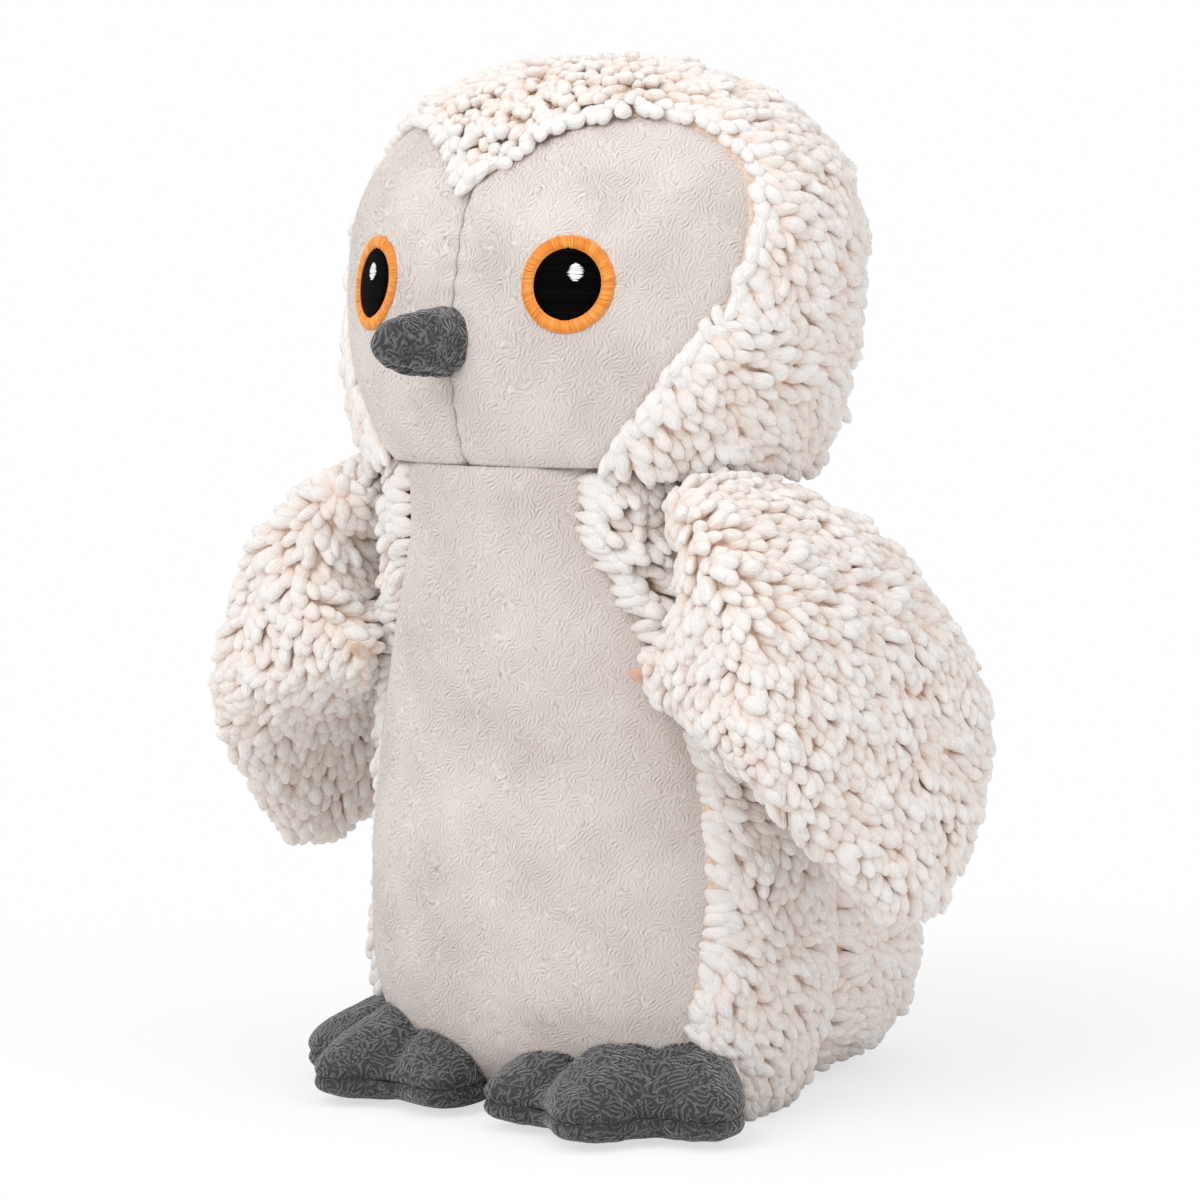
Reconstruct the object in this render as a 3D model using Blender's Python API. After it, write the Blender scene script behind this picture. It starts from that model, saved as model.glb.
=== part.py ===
"""Plush owl: a stuffed head, body, tail, wings, feet and beak, each a sewn fabric cover over its filling.

Metres, +Z up. The owl faces -Y, its own left side is +X, and the origin is the middle of the base panel.
Every cover is the space between two copies of one swelling form: the filling's surface, and the same surface
swollen by the thickness of the cloth. Seams are where outline cutters part the cloth.
"""

import math

import bmesh
import bpy
import numpy
from mathutils import Matrix, Vector

# Clearances and cloths
GAP = 0.0003
OVERRUN = 0.030
FLEECE_THICKNESS = 0.0065
VELOUR_THICKNESS = 0.0015
MINKY_THICKNESS = 0.0018
THREAD_THICKNESS = 0.0008
HIGHLIGHT_THICKNESS = 0.0005
BASE_PANEL_THICKNESS = 0.0020
SOLE_FLAT_DEPTH = 0.0005

# Head, measured to the filling's surface
NECK_HEIGHT = 0.1830
NECK_TO_HEAD_CENTRE = 0.0580
HEAD_SET_FORWARD = 0.0020
HEAD_HALF_WIDTH = 0.0750
HEAD_FRONT_DEPTH = 0.0575
HEAD_BACK_DEPTH = 0.0540
HEAD_CROWN_RISE = 0.0485
HEAD_LOWER_DROP = 0.0900
HEAD_LEAN_SHARE = 0.20
HEAD_FRONT_POWER = 2.05
HEAD_BACK_POWER = 2.2
HEAD_SIDE_POWER = 2.25

# Face panels: half width and height over the neck seam, and the seam's course in shares of the two
FACE_HALF_WIDTH = 0.0700
FACE_HEIGHT = 0.0935
FACE_ACROSS_SHARES = (0.00, 0.14, 0.34, 0.56, 0.76, 0.93, 1.00, 1.00, 0.96, 0.80, 0.64, 0.52, 0.46)
FACE_UP_SHARES = (0.80, 0.88, 0.97, 1.00, 0.97, 0.87, 0.74, 0.61, 0.48, 0.27, 0.09, 0.00, -0.10)

# Eyes, embroidered on the face
EYE_OUT = 0.0342
EYE_HEIGHT = 0.2324
EYE_TURN_DEGREES = 21.0
EYE_RING_RADIUS = 0.0132
EYE_RING_WIDTH = 0.0037
EYE_HIGHLIGHT_RADIUS = 0.0023
EYE_HIGHLIGHT_RISE = 0.0032
EYE_LEFT_HIGHLIGHT_SHIFT = 0.0024
EYE_RIGHT_HIGHLIGHT_SHIFT = 0.0

# Beak, a narrow stuffed cone sewn over the face's centre seam
BEAK_HEIGHT = 0.2170
BEAK_HALF_WIDTH = 0.0058
BEAK_HALF_HEIGHT = 0.0090
BEAK_REACH = 0.0290
BEAK_ROOT_DEPTH = 0.0120
BEAK_TIP_SHARE = 0.66
BEAK_DROOP = 0.0008
BEAK_POWER = 2.6

# Body, measured to the filling's surface, and its profile in shares of these
BODY_HALF_WIDTH = 0.0660
BODY_FRONT_DEPTH = 0.0540
BODY_BACK_DEPTH = 0.0430
BODY_PLAN_POWER = 2.3
BODY_UP_SHARES = (0.000, 0.066, 0.164, 0.328, 0.546, 0.738, 0.902, 1.000)
BODY_WIDTH_SHARES = (0.790, 0.910, 0.985, 1.000, 0.950, 0.820, 0.700, 0.670)
BODY_FRONT_SHARES = (0.700, 0.850, 0.950, 1.000, 0.990, 0.990, 1.010, 1.060)
BODY_BACK_SHARES = (0.840, 0.930, 0.980, 1.000, 0.980, 0.910, 0.840, 0.810)
PELLET_BAG_TOP = 0.0300

# Belly panel: half width, and the seam's course in shares of it and of the neck height
BELLY_HALF_WIDTH = 0.0608
BELLY_ACROSS_SHARES = (0.40, 0.62, 0.85, 0.95, 1.00, 0.985, 0.94, 0.84, 0.74, 0.62, 0.52, 0.53, 0.56)
BELLY_UP_SHARES = (-0.08, 0.00, 0.10, 0.19, 0.33, 0.44, 0.55, 0.66, 0.74, 0.83, 0.90, 1.00, 1.08)

# Tail, a broad stuffed wedge at the foot of the back
TAIL_HALF_WIDTH = 0.0520
TAIL_HALF_LENGTH = 0.0650
TAIL_HALF_HEIGHT = 0.0340
TAIL_SET_BACK = 0.0380
TAIL_FLOOR_CLEARANCE = 0.0040
TAIL_POWER = 2.8

# Wings: the midline runs out and down from the swing axis, and the sections follow it
WING_LENGTH = 0.1120
WING_ROOT_RADIUS = 0.0065
WING_AXIS_DROP = 0.0140
WING_TIP_ROUNDING = 0.0080
WING_HALF_CHORD = 0.0475
WING_SET_FORWARD = 0.0210
WING_POWER = 2.3
WING_CLOSING_POWER = 0.5
WING_REGION_SHARES = (-0.3, 1.3)
WING_ALONG_SHARES = (0.00, 0.10, 0.25, 0.40, 0.55, 0.70, 0.82, 0.92, 1.00)
WING_CHORD_SHARES = (0.42, 0.60, 0.78, 0.90, 1.00, 0.91, 0.69, 0.47, 0.26)
WING_FORWARD_SHARES = (1.00, 0.81, 0.55, 0.33, 0.19, 0.12, 0.05, 0.02, 0.12)
WING_THICK_SHARES = (1.00, 1.08, 1.08, 1.00, 0.92, 0.77, 0.62, 0.50, 0.40)
WING_INNER_FULL_SHARES = (0.00, 1.20, 3.60, 3.80, 2.00, 0.30, 0.00, 0.00, 0.00)
WING_SLOPE_DEGREES = (-30.0, -40.0, -62.0, -74.0, -77.0, -76.0, -74.0, -72.0, -70.0)

# Feet: three toes round a heel, the sole seam at the toes' mid height
FOOT_HEEL_OUT = 0.0350
FOOT_HEEL_FORWARD = 0.0140
FOOT_TURN_DEGREES = 15.0
FOOT_HEEL_RADIUS = 0.0180
FOOT_SEAM_HEIGHT = 0.0085
FOOT_TOP_RISE = 0.0245
FOOT_TOE_RISE_SHARE = 0.46
FOOT_SWAY_ROOM = 0.0030
FOOT_EDGE_POWER = 0.80
FOOT_TOP_POWER = 0.80
FOOT_UNDER_POWER = 0.60
TOE_REACHES = (0.0330, 0.0335, 0.0300)
TOE_ANGLES_DEGREES = (-44.0, -3.0, 42.0)
TOE_SPREADS_DEGREES = (23.0, 18.0, 22.0)

# Mesh fineness: points round and along each form
HEAD_STEPS = (24, 12)
BODY_STEPS = (24, 12)
TAIL_STEPS = (16, 10)
WING_STEPS = (16, 12)
FOOT_STEPS = (32, 8)
BEAK_STEPS = (12, 8)
OUTLINE_STEPS = 18
CIRCLE_STEPS = 18
SEAM_SEARCH_STEPS = 60
MIDLINE_STEPS = 60

# Places that follow from the sizes
HEAD_CENTRE = Vector((0.0, -HEAD_SET_FORWARD, NECK_HEIGHT + NECK_TO_HEAD_CENTRE))
HEAD_ABOVE = NECK_HEIGHT + GAP / 2
BODY_BELOW = NECK_HEIGHT - GAP / 2
TAIL_CENTRE_HEIGHT = TAIL_FLOOR_CLEARANCE + TAIL_HALF_HEIGHT
WING_AXIS_HEIGHT = NECK_HEIGHT - WING_AXIS_DROP
EYE_PUPIL_RADIUS = EYE_RING_RADIUS - EYE_RING_WIDTH
REACH = 2 * (NECK_HEIGHT + HEAD_CROWN_RISE)
POLE_LATITUDE = math.radians(89.9)

LEFT = 1
RIGHT = -1
SIDE_NAMES = {LEFT: "left", RIGHT: "right"}
EYE_HIGHLIGHT_SHIFTS = {LEFT: EYE_LEFT_HIGHLIGHT_SHIFT, RIGHT: EYE_RIGHT_HIGHLIGHT_SHIFT}


# Curves through a few chosen values

def smooth(stops, values, at):
    """A smooth curve through the values at the stops, level beyond its ends."""
    stops = numpy.asarray(stops, dtype=float)
    values = numpy.asarray(values, dtype=float)
    slopes = numpy.gradient(values, stops)
    at = min(max(at, stops[0]), stops[-1])
    k = min(int(numpy.searchsorted(stops, at, side="right")) - 1, len(stops) - 2)
    width = stops[k + 1] - stops[k]
    t = (at - stops[k]) / width
    start = (2 * t**3 - 3 * t**2 + 1) * values[k] + (t**3 - 2 * t**2 + t) * width * slopes[k]
    end = (3 * t**2 - 2 * t**3) * values[k + 1] + (t**3 - t**2) * width * slopes[k + 1]
    return float(start + end)


def smooth_outline(across, up, width, height, count):
    """Points of half an outline, even along its course."""
    course = numpy.linspace(0, 1, len(across))
    steps = numpy.linspace(0, 1, count)
    return [(smooth(course, across, t) * width, smooth(course, up, t) * height) for t in steps]


def signed_power(value, power):
    return math.copysign(abs(value) ** power, value)


def oval_reach(across, along, half_width, half_depth, power):
    """Distance to a squarish oval in the direction (across, along)."""
    return (abs(across / half_width) ** power + abs(along / half_depth) ** power) ** (-1 / power)


# Forms: each gives the point at a longitude and latitude, swollen outwards from the filling

def head_form(longitude, latitude, swell):
    across = math.cos(latitude) * math.cos(longitude)
    along = math.cos(latitude) * math.sin(longitude)
    up = math.sin(latitude)
    width = HEAD_HALF_WIDTH + swell
    depth = (HEAD_FRONT_DEPTH if along < 0 else HEAD_BACK_DEPTH) + swell
    height = (HEAD_CROWN_RISE if up > 0 else HEAD_LOWER_DROP) + swell
    power = HEAD_FRONT_POWER if along < 0 else HEAD_BACK_POWER
    plan = abs(across / width) ** power + abs(along / depth) ** power
    total = plan ** (HEAD_SIDE_POWER / power) + abs(up / height) ** HEAD_SIDE_POWER
    reach = total ** (-1 / HEAD_SIDE_POWER)
    place = HEAD_CENTRE + Vector((across, along, up)) * reach
    front_share = max(0.0, -math.sin(longitude))
    place.y += HEAD_LEAN_SHARE * (place.z - HEAD_CENTRE.z) * front_share * abs(math.cos(latitude))
    return place


def body_section(height):
    """Half width, front depth and back depth of the body's filling at a height."""
    share = height / NECK_HEIGHT
    width = BODY_HALF_WIDTH * smooth(BODY_UP_SHARES, BODY_WIDTH_SHARES, share)
    front = BODY_FRONT_DEPTH * smooth(BODY_UP_SHARES, BODY_FRONT_SHARES, share)
    back = BODY_BACK_DEPTH * smooth(BODY_UP_SHARES, BODY_BACK_SHARES, share)
    return width, front, back


def body_reach(across, along, height, swell):
    """Distance from the middle to the body's surface at a height, in the direction (across, along)."""
    width, front, back = body_section(height)
    depth = front if along < 0 else back
    return oval_reach(across, along, width + swell, depth + swell, BODY_PLAN_POWER)


def body_form(longitude, latitude, swell):
    low, high = -OVERRUN / 2, NECK_HEIGHT + OVERRUN / 2
    height = low + (high - low) * (latitude / math.pi + 0.5)
    across, along = math.cos(longitude), math.sin(longitude)
    reach = body_reach(across, along, height, swell)
    if abs(latitude) > POLE_LATITUDE:
        reach = 0.0
    return Vector((across * reach, along * reach, height))


def tail_form(longitude, latitude, swell):
    across = math.cos(latitude) * math.cos(longitude)
    along = math.cos(latitude) * math.sin(longitude)
    up = math.sin(latitude)
    sizes = (TAIL_HALF_WIDTH + swell, TAIL_HALF_LENGTH + swell, TAIL_HALF_HEIGHT + swell)
    total = sum(abs(part / size) ** TAIL_POWER for part, size in zip((across, along, up), sizes))
    place = Vector((across, along, up)) * total ** (-1 / TAIL_POWER)
    return place + Vector((0.0, TAIL_SET_BACK, TAIL_CENTRE_HEIGHT))


def beak_form(longitude, latitude, swell):
    """The poles are the root, inside the head, and the tip."""
    root = head_form(-math.pi / 2, math.asin(-min(1.0, (HEAD_CENTRE.z - BEAK_HEIGHT) / HEAD_LOWER_DROP)), 0.0)
    length = BEAK_ROOT_DEPTH + BEAK_REACH
    along = signed_power(math.sin(latitude), 2 / BEAK_POWER) * (length / 2 + swell)
    ring = abs(math.cos(latitude)) ** (2 / BEAK_POWER)
    way = (along + length / 2) / length
    taper = 1 - (1 - BEAK_TIP_SHARE) * max(0.0, way)
    across = math.cos(longitude) * (BEAK_HALF_WIDTH * taper + swell) * ring
    up = math.sin(longitude) * (BEAK_HALF_HEIGHT * taper + swell) * ring
    middle = root.y + BEAK_ROOT_DEPTH - length / 2
    return Vector((across, middle - along, BEAK_HEIGHT + up - BEAK_DROOP * way))


def wing_axis_out():
    """Distance of the swing axis from the middle: the wing's root just clears the body's fleece."""
    widest = max(body_section(WING_AXIS_HEIGHT + share * WING_ROOT_RADIUS)[0] for share in (-1, 0, 1))
    return widest + FLEECE_THICKNESS + GAP + WING_ROOT_RADIUS + FLEECE_THICKNESS


def wing_midline(share):
    """Place and slope of the wing's middle surface at a share of its length, on the left side."""
    stops = numpy.linspace(0, max(share, 0.0), MIDLINE_STEPS)
    slopes = [math.radians(smooth(WING_ALONG_SHARES, WING_SLOPE_DEGREES, s)) for s in stops]
    step = WING_LENGTH * max(share, 0.0) / MIDLINE_STEPS
    out = wing_axis_out() + step * sum(math.cos(s) for s in slopes)
    height = WING_AXIS_HEIGHT + step * sum(math.sin(s) for s in slopes)
    beyond = min(share, 0.0) + max(share - 1.0, 0.0)
    run = WING_LENGTH * beyond
    return out + run * math.cos(slopes[-1]), height + run * math.sin(slopes[-1]), slopes[-1]


def wing_form(longitude, latitude, swell):
    """The left wing. The poles are the round of its root and its tip."""
    radius = WING_ROOT_RADIUS + swell
    tip = WING_TIP_ROUNDING + swell
    travel = (WING_LENGTH + radius + swell) * (latitude / math.pi + 0.5) - radius
    share = travel / WING_LENGTH
    root_end = math.sqrt(max(0.0, 1 - (min(travel, 0.0) / radius) ** 2))
    past = max(0.0, travel - (WING_LENGTH + swell - tip)) / tip
    tip_end = math.sqrt(max(0.0, 1 - min(past, 1.0) ** 2))
    closing = min(root_end, tip_end)
    thick = WING_ROOT_RADIUS * smooth(WING_ALONG_SHARES, WING_THICK_SHARES, share) + swell
    chord = WING_HALF_CHORD * smooth(WING_ALONG_SHARES, WING_CHORD_SHARES, share) + swell
    centre = -WING_SET_FORWARD * smooth(WING_ALONG_SHARES, WING_FORWARD_SHARES, share)
    along = signed_power(math.cos(longitude), 2 / WING_POWER) * chord * closing ** WING_CLOSING_POWER
    outward = signed_power(math.sin(longitude), 2 / WING_POWER) * thick * closing
    if outward < 0:
        frontness = (1 - math.cos(longitude)) / 2
        outward *= 1 + frontness * smooth(WING_ALONG_SHARES, WING_INNER_FULL_SHARES, share)
    out, height, slope = wing_midline(share)
    return Vector((out - outward * math.sin(slope), centre + along, height + outward * math.cos(slope)))


def foot_reach(angle):
    """Distance from the heel to the foot's edge, at an angle from its forward direction."""
    reach = FOOT_HEEL_RADIUS
    for length, middle, spread in zip(TOE_REACHES, TOE_ANGLES_DEGREES, TOE_SPREADS_DEGREES):
        away = (math.degrees(angle) - middle + 180) % 360 - 180
        reach += length * math.exp(-((away / spread) ** 2))
    return reach


def foot_form(longitude, latitude, swell):
    """The left foot, with its poles over and under the heel."""
    share = math.cos(latitude) ** FOOT_EDGE_POWER
    reach = (foot_reach(longitude) + swell) * share
    furthest = FOOT_HEEL_RADIUS + max(TOE_REACHES)
    top = FOOT_TOP_RISE * (1 - (1 - FOOT_TOE_RISE_SHARE) * min(1.0, reach / furthest)) + swell
    under = FOOT_SEAM_HEIGHT + SOLE_FLAT_DEPTH - MINKY_THICKNESS + swell
    if latitude > 0:
        rise = top * math.sin(latitude) ** FOOT_TOP_POWER
    else:
        rise = -under * (-math.sin(latitude)) ** FOOT_UNDER_POWER
    heading = longitude + math.radians(FOOT_TURN_DEGREES)
    out = FOOT_HEEL_OUT + reach * math.sin(heading)
    forward = FOOT_HEEL_FORWARD + reach * math.cos(heading)
    return Vector((out, -forward, FOOT_SEAM_HEIGHT + rise))


def foot_seam_place(longitude):
    """Where the left foot's cover leaves the belly's surface, on one side of its heel."""
    place = foot_form(longitude, math.pi / 2, MINKY_THICKNESS)
    for latitude in numpy.linspace(math.pi / 2, 0.0, SEAM_SEARCH_STEPS):
        place = foot_form(longitude, latitude, MINKY_THICKNESS)
        plan = math.hypot(place.x, place.y)
        if plan > body_reach(place.x / plan, place.y / plan, place.z, VELOUR_THICKNESS + GAP):
            break
    return place


def foot_axis_place():
    """Point on the left foot's hinge line: over the front of its seam, and as high as the seam goes."""
    front = foot_seam_place(0.0)
    around = [foot_seam_place(angle) for angle in numpy.linspace(-math.pi / 3, math.pi / 3, OUTLINE_STEPS)]
    return Vector((front.x, front.y, max(place.z for place in around) + GAP))


# Making objects

def start_scene():
    for thing in list(bpy.data.objects):
        bpy.data.objects.remove(thing)
    owl = bpy.data.collections.new("plush_owl")
    cutters = bpy.data.collections.new("cutters")
    for group in (owl, cutters):
        bpy.context.scene.collection.children.link(group)
    return owl, cutters


OWL, CUTTERS = start_scene()


def cloth(name, colour, roughness):
    material = bpy.data.materials.new(name)
    material.use_nodes = True
    shader = material.node_tree.nodes["Principled BSDF"]
    shader.inputs["Base Color"].default_value = (*colour, 1.0)
    shader.inputs["Roughness"].default_value = roughness
    shader.inputs["Metallic"].default_value = 0.0
    return material


FLEECE = cloth("curly_fleece", (0.89, 0.80, 0.72), 0.95)
VELOUR = cloth("velour", (0.68, 0.62, 0.56), 0.90)
MINKY = cloth("grey_minky", (0.10, 0.10, 0.10), 0.90)
ORANGE_THREAD = cloth("orange_thread", (0.90, 0.30, 0.03), 0.50)
BLACK_THREAD = cloth("black_thread", (0.008, 0.008, 0.008), 0.45)
WHITE_THREAD = cloth("white_thread", (0.85, 0.84, 0.88), 0.50)
FILLING = cloth("polyester_filling", (0.85, 0.85, 0.83), 1.00)
LINING = cloth("woven_lining", (0.60, 0.56, 0.50), 0.90)


def add(name, mesh, material=None):
    """A piece of the owl, or a cutter where no material is given."""
    thing = bpy.data.objects.new(name, mesh)
    if material is None:
        thing.display_type = "WIRE"
        thing.hide_render = True
        CUTTERS.objects.link(thing)
    else:
        mesh.materials.append(material)
        OWL.objects.link(thing)
    return thing


def stuffed(name, form, swell, steps, side=LEFT, material=None):
    """A ball drawn out to a form, with no point on a seam; the right side is the left one mirrored."""
    ball = bmesh.new()
    bmesh.ops.create_uvsphere(ball, u_segments=steps[0], v_segments=steps[1], radius=1.0)
    bmesh.ops.triangulate(ball, faces=ball.faces, quad_method="FIXED")
    for point in ball.verts:
        latitude = math.asin(max(-1.0, min(1.0, point.co.z)))
        longitude = math.atan2(point.co.y, point.co.x) + math.pi / steps[0]
        point.co = form(longitude, latitude, swell)
        point.co.x *= side
    if side == RIGHT:
        bmesh.ops.reverse_faces(ball, faces=ball.faces)
    mesh = bpy.data.meshes.new(name)
    ball.to_mesh(mesh)
    ball.free()
    mesh.shade_smooth()
    return add(name, mesh, material)


def block(name, low, high):
    """A box cutter between two corners."""
    cube = bmesh.new()
    bmesh.ops.create_cube(cube, size=1.0)
    low, high = Vector(low), Vector(high)
    for point in cube.verts:
        point.co = Vector([(a + b) / 2 + c * (b - a) for a, b, c in zip(low, high, point.co)])
    mesh = bpy.data.meshes.new(name)
    cube.to_mesh(mesh)
    cube.free()
    return add(name, mesh)


def prism(name, outline, near, far):
    """A cutter with an outline in X and Z, drawn out along Y from near to far."""
    curve = bpy.data.curves.new(name, "CURVE")
    curve.dimensions = "2D"
    curve.fill_mode = "BOTH"
    curve.extrude = (far - near) / 2
    spline = curve.splines.new("POLY")
    spline.points.add(len(outline) - 1)
    for point, (across, up) in zip(spline.points, outline):
        point.co = (across, up, 0.0, 1.0)
    spline.use_cyclic_u = True
    drawn = bpy.data.objects.new(name + "_curve", curve)
    CUTTERS.objects.link(drawn)
    middle = Matrix.Translation((0.0, (near + far) / 2, 0.0))
    drawn.matrix_world = middle @ Matrix.Rotation(math.pi / 2, 4, "X")
    bpy.context.view_layer.update()
    graph = bpy.context.evaluated_depsgraph_get()
    mesh = bpy.data.meshes.new_from_object(drawn.evaluated_get(graph))
    solid = bmesh.new()
    solid.from_mesh(mesh)
    bmesh.ops.remove_doubles(solid, verts=solid.verts, dist=GAP / 10)
    bmesh.ops.transform(solid, matrix=drawn.matrix_world, verts=solid.verts)
    bmesh.ops.recalc_face_normals(solid, faces=solid.faces)
    solid.to_mesh(mesh)
    solid.free()
    bpy.data.objects.remove(drawn)
    return add(name, mesh)


def rod(name, radius, start, end):
    """A round cutter from start to end."""
    bar = bmesh.new()
    way = Vector(end) - Vector(start)
    bmesh.ops.create_cone(bar, cap_ends=True, segments=CIRCLE_STEPS, radius1=radius, radius2=radius,
                          depth=way.length)
    turn = way.to_track_quat("Z", "Y").to_matrix().to_4x4()
    middle = Matrix.Translation((Vector(start) + Vector(end)) / 2)
    bmesh.ops.transform(bar, matrix=middle @ turn, verts=bar.verts)
    mesh = bpy.data.meshes.new(name)
    bar.to_mesh(mesh)
    bar.free()
    return add(name, mesh)


def cut(piece, *cutters, keep=False):
    """Takes each cutter away from a piece, or keeps only what lies inside it."""
    for cutter in cutters:
        modifier = piece.modifiers.new(cutter.name, "BOOLEAN")
        modifier.operation = "INTERSECT" if keep else "DIFFERENCE"
        modifier.solver = "EXACT"
        modifier.object = cutter
    return piece


def pivot(name, place):
    """An empty on a joint's axis, which the moving pieces hang from."""
    empty = bpy.data.objects.new(name, None)
    empty.empty_display_size = WING_ROOT_RADIUS
    empty.location = place
    OWL.objects.link(empty)
    return empty


def hang(piece, empty):
    """Gives a piece its origin on the joint's axis."""
    piece.data.transform(Matrix.Translation(-empty.location))
    piece.parent = empty


# Shared cutters
FLOOR = block("floor_cut", (-REACH, -REACH, -REACH), (REACH, REACH, 0.0))
BELOW_NECK = block("below_neck", (-REACH, -REACH, -REACH), (REACH, REACH, HEAD_ABOVE))
ABOVE_NECK = block("above_neck", (-REACH, -REACH, BODY_BELOW), (REACH, REACH, REACH))
OTHER_HALF = {
    side: block(f"half_beside_{SIDE_NAMES[side]}",
                (min(-side * REACH, side * GAP / 2), -REACH, -REACH),
                (max(-side * REACH, side * GAP / 2), REACH, REACH))
    for side in (LEFT, RIGHT)
}
HEAD_INSIDE = stuffed("head_inside", head_form, 0.0, HEAD_STEPS)
FACE_CLEAR = stuffed("face_clear", head_form, VELOUR_THICKNESS + GAP, HEAD_STEPS)
BODY_INSIDE = stuffed("body_inside", body_form, 0.0, BODY_STEPS)
FLEECE_CLEAR = stuffed("body_fleece_clear", body_form, FLEECE_THICKNESS + GAP, BODY_STEPS)
COVERED_FLEECE_CLEAR = stuffed("two_fleeces_clear", body_form, 2 * FLEECE_THICKNESS + GAP, BODY_STEPS)
FILLING_CLEAR = stuffed("filling_clear", body_form, 2 * (FLEECE_THICKNESS + GAP), BODY_STEPS)


def whole_outline(half):
    """Both sides of an outline that starts and ends near the middle."""
    mirrored = [(-across, up) for across, up in reversed(half) if across > GAP]
    return half + mirrored


def narrowed(outline, centre, margin):
    """The outline drawn in by a margin towards a centre."""
    moved = []
    for across, up in outline:
        away = Vector((across - centre[0], up - centre[1]))
        short = away * (1 - margin / away.length)
        moved.append((centre[0] + short.x, centre[1] + short.y))
    return moved


def head_pieces():
    half = smooth_outline(FACE_ACROSS_SHARES, FACE_UP_SHARES, FACE_HALF_WIDTH, FACE_HEIGHT, OUTLINE_STEPS)
    outline = whole_outline([(across, up + NECK_HEIGHT) for across, up in half])
    middle = (0.0, NECK_HEIGHT + FACE_HEIGHT / 2)
    opening = prism("face_opening", outline, -REACH, HEAD_CENTRE.y)
    panel = prism("face_panel_edge", narrowed(outline, middle, GAP), -REACH, HEAD_CENTRE.y)
    for side, word in SIDE_NAMES.items():
        hood = stuffed(f"hood_{word}", head_form, FLEECE_THICKNESS, HEAD_STEPS, LEFT, FLEECE)
        cut(hood, HEAD_INSIDE, BELOW_NECK, opening, OTHER_HALF[side])
        face = stuffed(f"face_{word}", head_form, VELOUR_THICKNESS, HEAD_STEPS, LEFT, VELOUR)
        cut(face, HEAD_INSIDE, BELOW_NECK, OTHER_HALF[side])
        cut(face, panel, keep=True)
    filling = stuffed("head_stuffing", head_form, -GAP, HEAD_STEPS, LEFT, FILLING)
    cut(filling, BELOW_NECK)


def eye_pieces(side):
    word = SIDE_NAMES[side]
    turn = math.radians(EYE_TURN_DEGREES)
    outward = Vector((side * math.sin(turn), -math.cos(turn), 0.0))
    across = Vector((math.cos(turn), side * math.sin(turn), 0.0))
    depth = HEAD_FRONT_DEPTH * math.sqrt(max(0.0, 1 - (EYE_OUT / HEAD_HALF_WIDTH) ** 2))
    centre = Vector((side * EYE_OUT, HEAD_CENTRE.y - depth, EYE_HEIGHT))
    shift = EYE_HIGHLIGHT_SHIFTS[side]
    spark = centre + across * shift + Vector((0.0, 0.0, EYE_HIGHLIGHT_RISE))
    inward, away = -outward * HEAD_FRONT_DEPTH / 2, outward * OVERRUN
    ring_edge = rod(f"eye_ring_edge_{word}", EYE_RING_RADIUS, centre + inward, centre + away)
    ring_hole = rod(f"eye_ring_hole_{word}", EYE_PUPIL_RADIUS, centre + inward, centre + away)
    pupil_edge = rod(f"pupil_edge_{word}", EYE_PUPIL_RADIUS - GAP, centre + inward, centre + away)
    spark_edge = rod(f"highlight_edge_{word}", EYE_HIGHLIGHT_RADIUS, spark + inward, spark + away)
    level = VELOUR_THICKNESS + GAP + THREAD_THICKNESS
    ring = stuffed(f"eye_ring_{word}", head_form, level, HEAD_STEPS, LEFT, ORANGE_THREAD)
    cut(ring, FACE_CLEAR, ring_hole)
    cut(ring, ring_edge, keep=True)
    pupil = stuffed(f"eye_pupil_{word}", head_form, level, HEAD_STEPS, LEFT, BLACK_THREAD)
    cut(pupil, FACE_CLEAR)
    cut(pupil, pupil_edge, keep=True)
    above = stuffed(f"pupil_clear_{word}", head_form, level + GAP, HEAD_STEPS)
    light = stuffed(f"eye_highlight_{word}", head_form, level + GAP + HIGHLIGHT_THICKNESS, HEAD_STEPS, LEFT,
                    WHITE_THREAD)
    cut(light, above)
    cut(light, spark_edge, keep=True)


def beak_pieces():
    inside = stuffed("beak_inside", beak_form, 0.0, BEAK_STEPS)
    cover = stuffed("beak_cover", beak_form, MINKY_THICKNESS, BEAK_STEPS, LEFT, MINKY)
    cut(cover, inside, FACE_CLEAR)
    filling = stuffed("beak_stuffing", beak_form, -GAP, BEAK_STEPS, LEFT, FILLING)
    cut(filling, FACE_CLEAR)


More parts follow.
